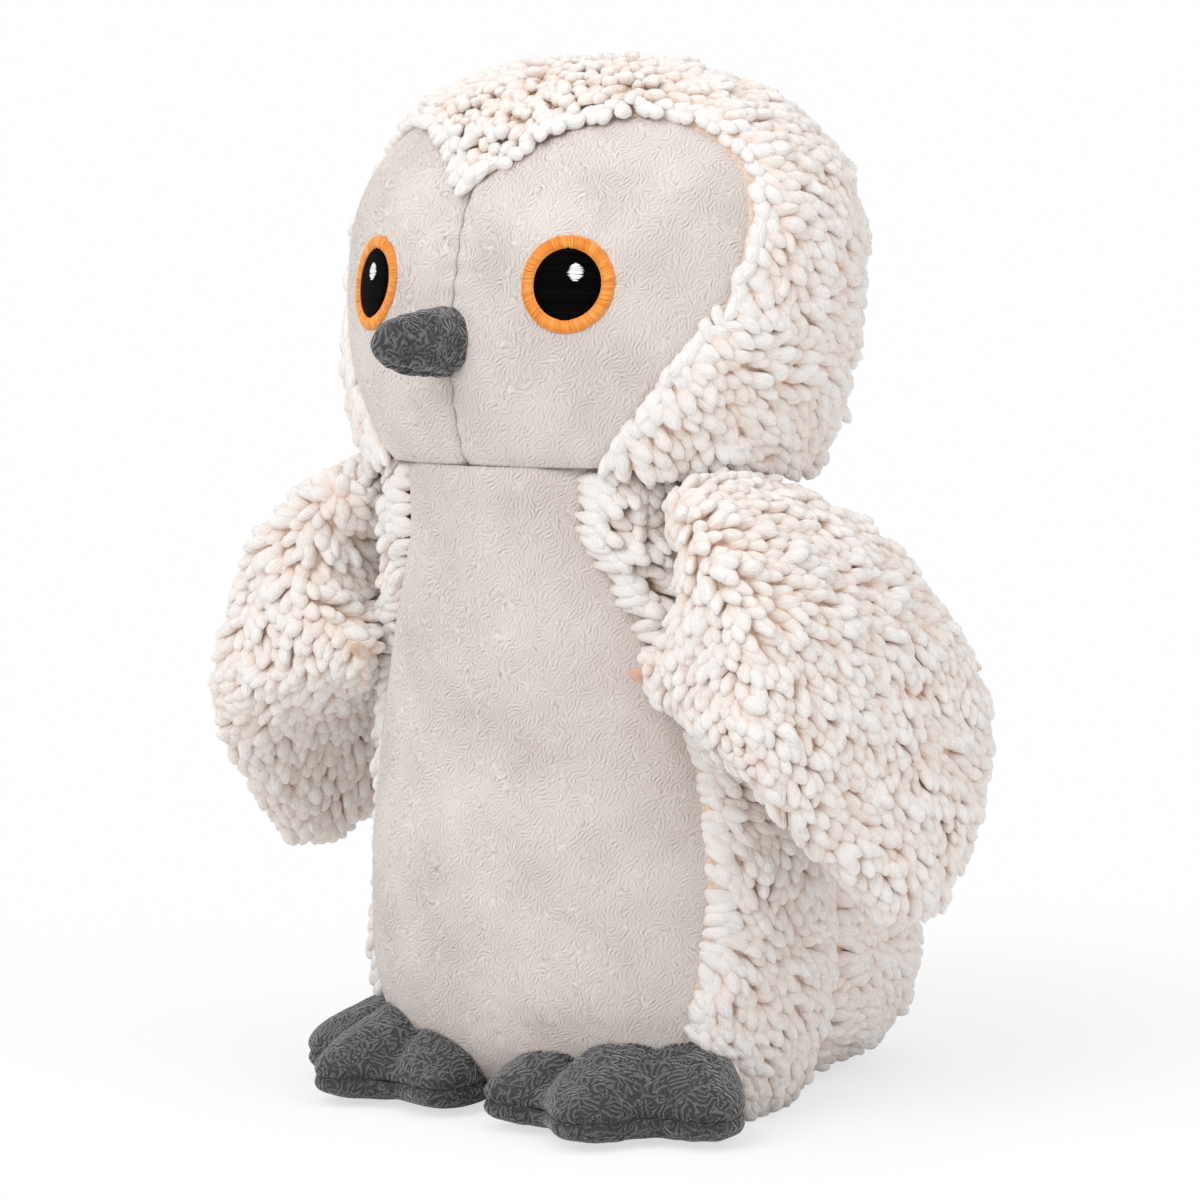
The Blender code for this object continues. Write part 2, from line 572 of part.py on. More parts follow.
def body_pieces():
    half = smooth_outline(BELLY_ACROSS_SHARES, BELLY_UP_SHARES, BELLY_HALF_WIDTH, NECK_HEIGHT, OUTLINE_STEPS)
    outline = whole_outline(half)
    opening = prism("belly_opening", outline, -REACH, 0.0)
    panel = prism("belly_panel_edge", narrowed(outline, (0.0, NECK_HEIGHT / 2), GAP), -REACH, 0.0)
    for side, word in SIDE_NAMES.items():
        flank = stuffed(f"body_side_{word}", body_form, FLEECE_THICKNESS, BODY_STEPS, LEFT, FLEECE)
        cut(flank, BODY_INSIDE, ABOVE_NECK, FLOOR, opening, OTHER_HALF[side])
    belly = stuffed("belly_panel", body_form, VELOUR_THICKNESS, BODY_STEPS, LEFT, VELOUR)
    cut(belly, BODY_INSIDE, ABOVE_NECK, FLOOR)
    cut(belly, panel, keep=True)
    layers = (("base_panel", 0.0, BASE_PANEL_THICKNESS, LINING),
              ("pellet_bag", BASE_PANEL_THICKNESS + GAP, PELLET_BAG_TOP, LINING),
              ("body_stuffing", PELLET_BAG_TOP + GAP, BODY_BELOW, FILLING))
    for name, low, high, material in layers:
        layer = stuffed(name, body_form, -GAP, BODY_STEPS, LEFT, material)
        slab = block(name + "_level", (-REACH, -REACH, low), (REACH, REACH, high))
        cut(layer, slab, keep=True)
    beside_belly = stuffed("fleece_beside_belly", body_form, FLEECE_THICKNESS + GAP, BODY_STEPS)
    sway = prism("foot_sway_room", narrowed(outline, (0.0, NECK_HEIGHT / 2), FOOT_SWAY_ROOM), -REACH, 0.0)
    cut(beside_belly, sway)
    covered = stuffed("covered_body", body_form, VELOUR_THICKNESS + GAP, BODY_STEPS)
    joined = covered.modifiers.new("fleece", "BOOLEAN")
    joined.operation = "UNION"
    joined.solver = "EXACT"
    joined.object = beside_belly
    return covered


def tail_pieces():
    inside = stuffed("tail_inside", tail_form, 0.0, TAIL_STEPS)
    cover = stuffed("tail_cover", tail_form, FLEECE_THICKNESS, TAIL_STEPS, LEFT, FLEECE)
    cut(cover, inside, FLEECE_CLEAR, FLOOR)
    filling = stuffed("tail_stuffing", tail_form, -GAP, TAIL_STEPS, LEFT, FILLING)
    cut(filling, FLEECE_CLEAR)


def wing_pieces(side):
    word = SIDE_NAMES[side]
    shoulder = pivot(f"wing_pivot_{word}", (side * wing_axis_out(), 0.0, WING_AXIS_HEIGHT))
    course = [wing_midline(share) for share in numpy.linspace(*WING_REGION_SHARES, OUTLINE_STEPS)]
    line = [(side * out, height) for out, height, slope in course]
    above = line[0][1] + REACH
    inner = line + [(side * GAP, line[-1][1]), (side * GAP, line[0][1])]
    outer = line + [(side * REACH, line[-1][1]), (side * REACH, above), (line[0][0], above)]
    inner = [(across + side * GAP / 2, up + GAP / 2) for across, up in inner]
    outer = [(across - side * GAP / 2, up - GAP / 2) for across, up in outer]
    inner_side = prism(f"wing_inner_region_{word}", inner, -REACH, REACH)
    outer_side = prism(f"wing_outer_region_{word}", outer, -REACH, REACH)
    inside = stuffed(f"wing_inside_{word}", wing_form, 0.0, WING_STEPS, side)
    cut(inside, COVERED_FLEECE_CLEAR)
    for name, away in ((f"wing_outer_{word}", inner_side), (f"wing_inner_{word}", outer_side)):
        panel = stuffed(name, wing_form, FLEECE_THICKNESS, WING_STEPS, side, FLEECE)
        hang(panel, shoulder)
        cut(panel, inside, away, FLEECE_CLEAR)
    filling = stuffed(f"wing_stuffing_{word}", wing_form, -GAP, WING_STEPS, side, FILLING)
    hang(filling, shoulder)
    cut(filling, FILLING_CLEAR)


def foot_pieces(side, covered_body):
    word = SIDE_NAMES[side]
    hinge = foot_axis_place()
    ankle = pivot(f"foot_pivot_{word}", (side * hinge.x, hinge.y, hinge.z))
    inside = stuffed(f"foot_inside_{word}", foot_form, 0.0, FOOT_STEPS, side)
    low, high = FOOT_SEAM_HEIGHT - GAP / 2, FOOT_SEAM_HEIGHT + GAP / 2
    over_seam = block(f"over_sole_seam_{word}", (-REACH, -REACH, low), (REACH, REACH, REACH))
    under_seam = block(f"under_sole_seam_{word}", (-REACH, -REACH, -REACH), (REACH, REACH, high))
    for name, away in ((f"foot_top_{word}", under_seam), (f"foot_sole_{word}", over_seam)):
        panel = stuffed(name, foot_form, MINKY_THICKNESS, FOOT_STEPS, side, MINKY)
        hang(panel, ankle)
        cut(panel, covered_body, FLOOR, away, inside)
    filling = stuffed(f"foot_stuffing_{word}", foot_form, -GAP, FOOT_STEPS, side, FILLING)
    hang(filling, ankle)
    cut(filling, covered_body)


def main():
    head_pieces()
    beak_pieces()
    covered_body = body_pieces()
    tail_pieces()
    for side in (LEFT, RIGHT):
        eye_pieces(side)
        wing_pieces(side)
        foot_pieces(side, covered_body)


main()
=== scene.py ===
"""Plush owl: the looks of every sewn piece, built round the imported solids.

Metres, +Z up. The owl faces -Y and its own left side is +X. Each form repeats the shape of its solid and then
carries its cloth: yarn nubs on the fleece, short pile on the velour, ridges on the minky, threads on the eyes.
"""

import logging
import math
from dataclasses import dataclass, field
from enum import Enum
from typing import Callable, Sequence

import bpy
import numpy as np
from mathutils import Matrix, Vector
from mathutils.kdtree import KDTree


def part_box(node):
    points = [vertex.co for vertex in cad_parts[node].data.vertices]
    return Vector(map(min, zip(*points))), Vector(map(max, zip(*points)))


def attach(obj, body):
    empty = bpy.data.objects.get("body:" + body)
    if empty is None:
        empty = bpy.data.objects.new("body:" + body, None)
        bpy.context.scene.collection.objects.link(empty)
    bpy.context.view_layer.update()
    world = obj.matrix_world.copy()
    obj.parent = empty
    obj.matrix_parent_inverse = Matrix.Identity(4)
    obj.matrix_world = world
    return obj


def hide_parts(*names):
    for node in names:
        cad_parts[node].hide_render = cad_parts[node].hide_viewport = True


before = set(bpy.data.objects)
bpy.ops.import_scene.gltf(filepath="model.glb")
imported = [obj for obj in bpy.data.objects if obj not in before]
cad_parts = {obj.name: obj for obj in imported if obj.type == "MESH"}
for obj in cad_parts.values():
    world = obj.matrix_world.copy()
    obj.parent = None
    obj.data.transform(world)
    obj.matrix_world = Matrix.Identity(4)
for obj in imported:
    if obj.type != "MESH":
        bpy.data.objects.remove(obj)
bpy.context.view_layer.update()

Array = np.ndarray
MM = 0.001
TINY = 1e-12
GAP = 0.3 * MM
NECK_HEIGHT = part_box("belly_panel")[1].z
FLEECE = 6.5 * MM
VELOUR = 1.5 * MM
MINKY = 1.8 * MM
FLOOR_CLEARANCE = 0.4 * MM
CLOTH = 1.0 * MM
KNIT_LEVEL = 3.3 * MM
# A filling lies this far under its cover, and a velour panel is no thinner than its backing
FILLING_SLACK = 0.9 * MM
VELOUR_BACKING = 0.4 * MM

log = logging.getLogger("plush_owl")


class Side(Enum):
    """The owl's own left and right, and the sign of X on each."""

    LEFT = 1
    RIGHT = -1

    @property
    def word(self) -> str:
        """The side's name, as the pieces carry it."""
        return self.name.lower()

    @property
    def flip(self) -> Array:
        """What takes a place on the left to its match on this side."""
        return np.array([float(self.value), 1.0, 1.0])


# Shapes in numbers

def unit(vectors: Array) -> Array:
    """Vectors at length one."""
    return vectors / np.maximum(np.linalg.norm(vectors, axis=-1, keepdims=True), TINY)


def signed_power(value: Array, power: float) -> Array:
    """A power that keeps the sign."""
    return np.sign(value) * np.abs(value) ** power


def smooth(stops: Sequence[float], values: Sequence[float], at: Array) -> Array:
    """A smooth curve through values at stops, level beyond its ends.

    Args:
        stops: where the values hold, rising.
        values: the curve's value at each stop.
        at: where to read the curve.

    Returns:
        The curve's values.
    """
    stops, values = np.asarray(stops, float), np.asarray(values, float)
    slopes = np.gradient(values, stops)
    at = np.clip(at, stops[0], stops[-1])
    k = np.clip(np.searchsorted(stops, at, side="right") - 1, 0, len(stops) - 2)
    width = stops[k + 1] - stops[k]
    t = (at - stops[k]) / width
    start = (2 * t**3 - 3 * t**2 + 1) * values[k] + (t**3 - 2 * t**2 + t) * width * slopes[k]
    return start + (3 * t**2 - 2 * t**3) * values[k + 1] + (t**3 - t**2) * width * slopes[k + 1]


def rise(low: float, high: float, at: Array) -> Array:
    """Goes smoothly from 0 at low to 1 at high; past them it is level."""
    t = np.clip((at - low) / (high - low), 0.0, 1.0)
    return t * t * (3 - 2 * t)


def ripples(points: Array, wavelength: float, seed: int, waves: int = 36) -> Array:
    """A smooth random field whose humps are half a wavelength wide.

    Args:
        points: where to read it.
        wavelength: from one hump to the next.
        seed: what starts the draw.
        waves: how many plane waves it adds up.

    Returns:
        The field, mostly from -1 to 1.
    """
    draw = np.random.default_rng(seed)
    ways = unit(draw.normal(size=(waves, 3))) * draw.uniform(0.8, 1.2, (waves, 1))
    phases = draw.uniform(0, math.tau, waves)
    return np.cos(points @ ways.T * (math.tau / wavelength) + phases).sum(axis=-1) / math.sqrt(waves)


def outline_gap(points: Array, outline: Array) -> tuple[Array, Array]:
    """How far points lie outside a closed outline, and which way is out.

    Args:
        points: places in the outline's plane, N by 2.
        outline: its corners in order, M by 2.

    Returns:
        The distance, negative inside, and unit vectors away from the inside.
    """
    start, end = outline, np.roll(outline, -1, axis=0)
    best = np.full(len(points), np.inf)
    nearest = np.zeros_like(points)
    inside = np.zeros(len(points), bool)
    for a, b in zip(start, end):
        way = b - a
        share = np.clip(((points - a) @ way) / max(float(way @ way), TINY), 0, 1)
        foot = a + share[:, None] * way
        gap = np.linalg.norm(points - foot, axis=1)
        closer = gap < best
        best[closer], nearest[closer] = gap[closer], foot[closer]
        crosses = (a[1] > points[:, 1]) != (b[1] > points[:, 1])
        level = way[1] if abs(way[1]) > TINY else TINY
        inside ^= crosses & (points[:, 0] < a[0] + (points[:, 1] - a[1]) * way[0] / level)
    sign = np.where(inside, -1.0, 1.0)
    return best * sign, unit(points - nearest) * sign[:, None]


def globe(u: Array, v: Array) -> Array:
    """Directions at longitude shares u and latitude shares v.

    Args:
        u: shares round.
        v: shares along.

    Returns:
        Unit directions.
    """
    longitude, latitude = u * math.tau, (v - 0.5) * math.pi
    return np.stack([np.cos(latitude) * np.cos(longitude), np.cos(latitude) * np.sin(longitude),
                     np.sin(latitude)], axis=-1)


def bell(at: Array, width: float) -> Array:
    """A smooth hump, 1 at 0 and gone at twice its width."""
    return np.exp(-((at / width) ** 2))


def even_steps(line: Array, spacing: float) -> Array:
    """Steps evenly along a line.

    Args:
        line: the line's points in order.
        spacing: about how far apart the steps are.

    Returns:
        The points at the steps, both ends among them.
    """
    course = np.concatenate([[0], np.cumsum(np.linalg.norm(np.diff(line, axis=0), axis=1))])
    steps = np.linspace(0, course[-1], max(2, round(course[-1] / spacing) + 1))
    return np.stack([np.interp(steps, course, line[:, k]) for k in range(line.shape[1])], axis=1)


# Meshes

@dataclass
class Mesh:
    """Points with four- and three-sided faces, and values that the finishes read at each point."""

    points: Array
    quads: Array
    triangles: Array
    values: dict[str, Array] = field(default_factory=dict)

    @staticmethod
    def joined(meshes: Sequence["Mesh"]) -> "Mesh":
        """Several meshes as one.

        Args:
            meshes: the meshes, all with values of the same names.

        Returns:
            The one mesh.
        """
        starts = np.cumsum([0] + [len(mesh.points) for mesh in meshes])
        names = meshes[0].values.keys()
        return Mesh(np.concatenate([mesh.points for mesh in meshes]),
                    np.concatenate([mesh.quads + start for mesh, start in zip(meshes, starts)]),
                    np.concatenate([mesh.triangles + start for mesh, start in zip(meshes, starts)]),
                    {name: np.concatenate([mesh.values[name] for mesh in meshes]) for name in names})

    def mirrored(self, side: Side) -> "Mesh":
        """The mesh for a side.

        Args:
            side: the side that it is for.

        Returns:
            The mesh as it is on the left, and its mirror image on the right.
        """
        if side is Side.LEFT:
            return self
        return Mesh(self.points * side.flip, self.quads[:, ::-1], self.triangles[:, ::-1], self.values)

    def piece(self, name: str, finish: bpy.types.Material) -> bpy.types.Object:
        """Makes the mesh an object of the scene.

        Args:
            name: the object's name.
            finish: its material.

        Returns:
            The object.
        """
        mesh = bpy.data.meshes.new(name)
        mesh.vertices.add(len(self.points))
        mesh.vertices.foreach_set("co", np.ascontiguousarray(self.points, dtype=np.float32).ravel())
        corners = np.concatenate([self.quads.ravel(), self.triangles.ravel()]).astype(np.int32)
        sizes = np.concatenate([np.full(len(self.quads), 4), np.full(len(self.triangles), 3)])
        mesh.loops.add(len(corners))
        mesh.loops.foreach_set("vertex_index", corners)
        mesh.polygons.add(len(sizes))
        starts = np.concatenate([[0], np.cumsum(sizes)[:-1]]).astype(np.int32)
        mesh.polygons.foreach_set("loop_start", starts)
        mesh.update(calc_edges=True)
        for label, numbers in self.values.items():
            kind, part = ("FLOAT", "value") if numbers.ndim == 1 else ("FLOAT_VECTOR", "vector")
            attribute = mesh.attributes.new(label, kind, "POINT")
            attribute.data.foreach_set(part, numbers.astype(np.float32).ravel())
        mesh.shade_smooth()
        mesh.materials.append(finish)
        thing = bpy.data.objects.new(name, mesh)
        bpy.context.scene.collection.objects.link(thing)
        log.info("%s: %d points, %d faces", name, len(self.points), len(sizes))
        return thing


NO_TRIANGLES = np.zeros((0, 3), int)


def band_faces(rows: int, columns: int) -> Array:
    """Faces of a grid of rows, each closed round its columns.

    Args:
        rows: how many rows of points.
        columns: how many points in each.

    Returns:
        The four-sided faces, which face out where the rows rise anticlockwise.
    """
    j, i = np.meshgrid(np.arange(rows - 1), np.arange(columns), indexing="ij")
    a, b = (j * columns + i).ravel(), (j * columns + (i + 1) % columns).ravel()
    return np.stack([a, b, b + columns, a + columns], axis=1)


def ball_faces(rows: int, columns: int) -> tuple[Array, Array]:
    """Faces of a closed ball, whose points are a grid of rows and then its first and last pole.

    Args:
        rows: how many rows of points.
        columns: how many points in each.

    Returns:
        The four-sided and the three-sided faces.
    """
    ring = np.arange(columns)
    turn = (ring + 1) % columns
    first, last = np.full(columns, rows * columns), np.full(columns, rows * columns + 1)
    top = (rows - 1) * columns
    triangles = np.concatenate([np.stack([turn, ring, first], 1), np.stack([top + ring, top + turn, last], 1)])
    return band_faces(rows, columns), triangles


def disc(edge: Array, centre: Array, rings: int) -> tuple[Array, Array, Array]:
    """A closed outline filled with rings drawn in towards its centre.

    Args:
        edge: the outline's points, anticlockwise, N by 2.
        centre: a point that sees all of the outline.
        rings: how many rings.

    Returns:
        Points, four-sided faces and three-sided faces.
    """
    shares = (np.arange(rings) + 1) / rings
    points = centre + shares[:, None, None] * (edge - centre)[None]
    quads, triangles = ball_faces(rings, len(edge))
    flat = np.concatenate([points.reshape(-1, 2), [centre]])
    return flat, quads[:, ::-1], triangles[:len(edge), ::-1]


def thickened(outer: Array, inner: Array, quads: Array, triangles: Array = NO_TRIANGLES,
              values: dict[str, Array] | None = None) -> Mesh:
    """Closes a sheet into a thick cloth: its face, its back and a rim between them.

    Args:
        outer: points of its face.
        inner: the same points on its back.
        quads: four-sided faces of its face.
        triangles: three-sided faces of its face.
        values: values at each point.

    Returns:
        The cloth, without the points that no face uses.
    """
    count = len(outer)
    edges = np.concatenate([quads[:, [k, (k + 1) % 4]] for k in range(4)]
                           + [triangles[:, [k, (k + 1) % 3]] for k in range(3)])
    forward, backward = edges[:, 0] * count + edges[:, 1], edges[:, 1] * count + edges[:, 0]
    free = edges[~np.isin(forward, backward)]
    rim = np.stack([free[:, 1], free[:, 0], free[:, 0] + count, free[:, 1] + count], axis=1)
    used = np.unique(np.concatenate([quads.ravel(), triangles.ravel()]))
    order = np.full(2 * count, -1)
    kept = np.concatenate([used, used + count])
    order[kept] = np.arange(len(kept))
    return Mesh(np.concatenate([outer, inner])[kept],
                order[np.concatenate([quads, quads[:, ::-1] + count, rim])],
                order[np.concatenate([triangles, triangles[:, ::-1] + count])],
                {name: np.concatenate([numbers, numbers])[kept] for name, numbers in (values or {}).items()})


def tubes(courses: Array, across: Array, radii: Array, sides: int, flatness: float = 1.0,
          lobes: Array | None = None) -> Mesh:
    """Closed tubes along many courses at once: the nubs and the threads.

    Args:
        courses: points along each, count by steps by 3; the first and last are its ends.
        across: the direction of each tube's width, count by 3.
        radii: radius at each inner step, count by steps less two.
        sides: faces round each tube.
        flatness: height over width.
        lobes: radius factors, count by steps less two by sides.

    Returns:
        The tubes as one mesh.
    """
    count, steps = courses.shape[:2]
    inner = courses[:, 1:-1]
    ways = unit(courses[:, 2:] - courses[:, :-2])
    wide = unit(across[:, None] - (across[:, None] * ways).sum(-1, keepdims=True) * ways)
    high = np.cross(ways, wide)
    turns = np.arange(sides) * math.tau / sides
    reach = radii[..., None] * (1.0 if lobes is None else lobes)
    ring = (wide[:, :, None] * (np.cos(turns) * reach)[..., None]
            + high[:, :, None] * (np.sin(turns) * reach * flatness)[..., None])
    points = (inner[:, :, None] + ring).reshape(count, -1, 3)
    points = np.concatenate([points, courses[:, :1], courses[:, -1:]], axis=1)
    quads, triangles = ball_faces(steps - 2, sides)
    starts = (np.arange(count) * points.shape[1])[:, None, None]
    return Mesh(points.reshape(-1, 3), (quads[None] + starts).reshape(-1, 4),
                (triangles[None] + starts).reshape(-1, 3))


# Finishes

def linear(hex_colour: str) -> tuple[float, float, float, float]:
    """An sRGB hex colour as linear light, opaque."""
    channels = [int(hex_colour[k:k + 2], 16) / 255 for k in (1, 3, 5)]
    return (*((c / 12.92 if c <= 0.04045 else ((c + 0.055) / 1.055) ** 2.4) for c in channels), 1.0)


def per_metre(millimetres: float) -> float:
    """A texture scale whose features are this many millimetres wide."""
    return 1 / (millimetres * MM)


def add_node(tree: bpy.types.NodeTree, kind: str, values: dict | None = None, links: dict | None = None,
             stops: Sequence[tuple[float, str]] = (), **settings: object) -> bpy.types.Node:
    """Adds a node with its settings, socket values and incoming links.

    Args:
        tree: the node tree.
        kind: the node's type, without the words that all types start with.
        values: plain values by input socket.
        links: output sockets by the input socket that they feed.
        stops: positions and hex colours of a colour ramp.
        settings: the node's own properties.

    Returns:
        The node.
    """
    node = tree.nodes.new("ShaderNode" + kind)
    for name, setting in settings.items():
        setattr(node, name, setting)
    for socket, value in (values or {}).items():
        node.inputs[socket].default_value = value
    for socket, source in (links or {}).items():
        tree.links.new(source, node.inputs[socket])
    for index, (position, colour) in enumerate(stops):
        elements = node.color_ramp.elements
        stop = elements[index] if index < 2 else elements.new(position)
        stop.position, stop.color = position, linear(colour)
    return node


class Look:
    """A new material, and the nodes that every finish here starts and ends with."""

    def __init__(self, name: str) -> None:
        """Makes the material with an empty tree and its output.

        Args:
            name: the material's name.
        """
        self.material = bpy.data.materials.new(name)
        self.material.use_nodes = True
        self.tree = self.material.node_tree
        self.tree.nodes.clear()
        self.surface = add_node(self.tree, "OutputMaterial").inputs["Surface"]

    def node(self, kind: str, *sockets: dict, **settings: object) -> bpy.types.Node:
        """Adds a node: plain values first, then links, then its own properties by name."""
        return add_node(self.tree, kind, *sockets, **settings)

    def value(self, label: str) -> bpy.types.NodeSocket:
        """The value that the mesh carries under a label."""
        return self.node("Attribute", attribute_name=label).outputs["Fac"]

    def place(self) -> bpy.types.NodeSocket:
        """Places in the object's own space."""
        return self.node("TexCoord").outputs["Object"]

    def noise(self, place: bpy.types.NodeSocket, width_mm: float, **values: float) -> bpy.types.Node:
        """Soft noise whose patches are this many millimetres wide."""
        return self.node("TexNoise", {"Scale": per_metre(width_mm), **values}, {"Vector": place})

    def shares(self, source: bpy.types.NodeSocket, amount: float, base: bpy.types.NodeSocket,
               middle: float = 0.5) -> bpy.types.NodeSocket:
        """Adds a pattern to a level, evened about the pattern's middle.

        Args:
            source: the pattern.
            amount: how much of it is added.
            base: the level that it is added to.
            middle: the pattern's usual value, which leaves the level as it was.

        Returns:
            The level with the pattern in it.
        """
        shift = self.node("Math", {1: middle}, {0: source}, operation="SUBTRACT").outputs[0]
        return self.node("Math", {1: amount}, {0: shift, 2: base}, operation="MULTIPLY_ADD").outputs[0]

    def swirls(self, place: bpy.types.NodeSocket, width_mm: float) -> bpy.types.NodeSocket:
        """Directions that turn smoothly from place to place, for pile that was brushed in swirls."""
        warp = self.noise(place, width_mm, Detail=1.0).outputs["Color"]
        return self.node("VectorMath", {1: (0.5, 0.5, 0.5)}, {0: warp}, operation="SUBTRACT").outputs[0]

    def ramp(self, level: bpy.types.NodeSocket, *stops: tuple[float, str]) -> bpy.types.NodeSocket:
        """Colours by level: the first and last stop, then those between them."""
        return self.node("ValToRGB", {}, {"Fac": level}, stops=stops).outputs["Color"]

    def bump(self, height: bpy.types.NodeSocket, strength: float, depth_mm: float,
             **settings: object) -> bpy.types.NodeSocket:
        """Relief of this depth where the height goes from 0 to 1."""
        return self.node("Bump", {"Strength": strength, "Distance": depth_mm * MM}, {"Height": height},
                         **settings).outputs["Normal"]

    def finished(self, colour: bpy.types.NodeSocket, normal: bpy.types.NodeSocket,
                 **values: float) -> bpy.types.Material:
        """Shades the cloth and gives the material.

        Args:
            colour: its colour.
            normal: its relief.
            values: the shader's plain values, with _ for each space in their names.

        Returns:
            The material.
        """
        shader = self.node("BsdfPrincipled", {name.replace("_", " "): value for name, value in values.items()},
                           {"Base Color": colour, "Normal": normal})
        self.tree.links.new(shader.outputs[0], self.surface)
        return self.material


@dataclass(frozen=True)
class SherpaYarn:
    """Acrylic sherpa: thick soft yarn, tufted into a knit and tumbled. Matt, and light soaks into each nub."""

    # Colours by depth in the pile: root and hollow are painted shade, side is the yarn's own cream, crest is a
    # painted highlight
    root: str = "#DFB597"
    hollow_painted_shade: str = "#F4D6C2"
    side: str = "#FCEEE4"
    crest: str = "#FFFBF8"
    ply_groove_painted_shade: float = 0.60
    mottle_share: float = 0.2
    mottle_mm: float = 14.0
    # Fibres are about 0.03 mm thick, too fine to show, so grooves between plies of half a millimetre stand in
    groove_mm: float = 0.6
    roughness: float = 0.92

    def make(self) -> bpy.types.Material:
        """Colours the nubs by their height over the knit with painted shade, warm in the hollows and a painted
        highlight on the crests, and grooves them with plies.

        Returns:
            The material.
        """
        cloth = Look("sherpa_yarn")
        place, depth, tint = cloth.place(), cloth.value("depth"), cloth.value("tint")
        mottle = cloth.noise(place, self.mottle_mm, Detail=2.0).outputs["Fac"]
        level = cloth.shares(mottle, self.mottle_share, depth)
        grain = cloth.node("Attribute", attribute_name="grain").outputs["Vector"]
        plies = cloth.node("TexNoise", {"Scale": 1.0, "Detail": 2.0, "Roughness": 0.6},
                           {"Vector": grain}).outputs["Fac"]
        # Ply grooves are painted darker, as painted shade, in the same pattern as their bump
        level = cloth.shares(plies, self.ply_groove_painted_shade, level)
        relief = cloth.bump(plies, 1.0, self.groove_mm)
        ramp = cloth.ramp(level, (0.02, self.root), (0.95, self.crest), (0.34, self.hollow_painted_shade), (0.62, self.side))
        shade = cloth.node("MapRange", {"To Min": 0.98, "To Max": 1.0}, {"Value": tint}).outputs[0]
        colour = cloth.node("HueSaturation", {}, {"Color": ramp, "Value": shade}).outputs["Color"]
        return cloth.finished(colour, relief, Roughness=self.roughness, Sheen_Weight=0.25, Sheen_Roughness=0.5,
                              Specular_IOR_Level=0.25)


@dataclass(frozen=True)
class KnitBacking:
    """Polyester knit that carries the sherpa's yarn: warp knitted, matt, seen only in the hollows of the pile."""

    # Both colours lean tan, darker than the yarn, to stand in for the shade in the pile's hollows: the knit's tone is
    # painted shade
    low: str = "#DEC4B0"
    high: str = "#F2E2D6"
    loop_mm: float = 1.2
    loop_depth_mm: float = 0.3
    roughness: float = 0.95

    def make(self) -> bpy.types.Material:
        """Rows of small loops, painted darker between them as shade, so that the ground looks knitted.

        Returns:
            The material.
        """
        cloth = Look("knit_backing")
        cells = cloth.node("TexVoronoi", {"Scale": per_metre(self.loop_mm)}, {"Vector": cloth.place()})
        edges = cells.outputs["Distance"]
        colour = cloth.ramp(edges, (0.0, self.high), (0.7, self.low))
        relief = cloth.bump(edges, 0.6, self.loop_depth_mm, invert=True)
        return cloth.finished(colour, relief, Roughness=self.roughness, Specular_IOR_Level=0.2)


@dataclass(frozen=True)
class ShearedVelour:
    """Polyester velour: a knitted pile sheared short, its fibres lying in small swirls that catch the light."""

    low: str = "#B2A69D"
    middle: str = "#DBD1CB"
    high: str = "#F1ECE8"
    # Pile fibres are finer than a pixel, so small bundles of them are drawn
    strand_mm: float = 1.0
    strands_across: float = 2.4
    strand_depth_mm: float = 0.4
    swirl_mm: float = 5.0
    swirl_turn: float = 4.5
    mottle_mm: float = 22.0
    roughness: float = 0.88

    def make(self) -> bpy.types.Material:
        """Swirled strands, mostly upright, painted darker in their dips and paler on their tops as shade and sheen,
        with broad soft mottling, so that the pile looks brushed by hand.

        Returns:
            The material.
        """
        cloth = Look("sheared_velour")
        place = cloth.place()
        swirl = cloth.node("VectorMath", {1: (self.swirl_turn,) * 3, 2: (1.0, 0.2, 0.0)},
                           {0: cloth.swirls(place, self.swirl_mm)}, operation="MULTIPLY_ADD").outputs[0]
        strands = cloth.node("TexGabor", {"Scale": per_metre(self.strands_across * self.strand_mm),
                                          "Frequency": self.strands_across, "Anisotropy": 0.72},
                             {"Vector": place, "Orientation 3D": swirl}, gabor_type="3D").outputs["Value"]
        mottle = cloth.noise(place, self.mottle_mm, Detail=2.0).outputs["Fac"]
        # The strands' pattern is both the bump and painted shade and sheen in the colour; the mottling is the
        # velour's own uneven tone
        level = cloth.shares(mottle, 0.5, strands)
        colour = cloth.ramp(level, (0.12, self.low), (0.88, self.high), (0.5, self.middle))
        relief = cloth.bump(strands, 0.6, self.strand_depth_mm)
        return cloth.finished(colour, relief, Roughness=self.roughness, Sheen_Weight=0.35, Sheen_Roughness=0.4,
                              Specular_IOR_Level=0.2)


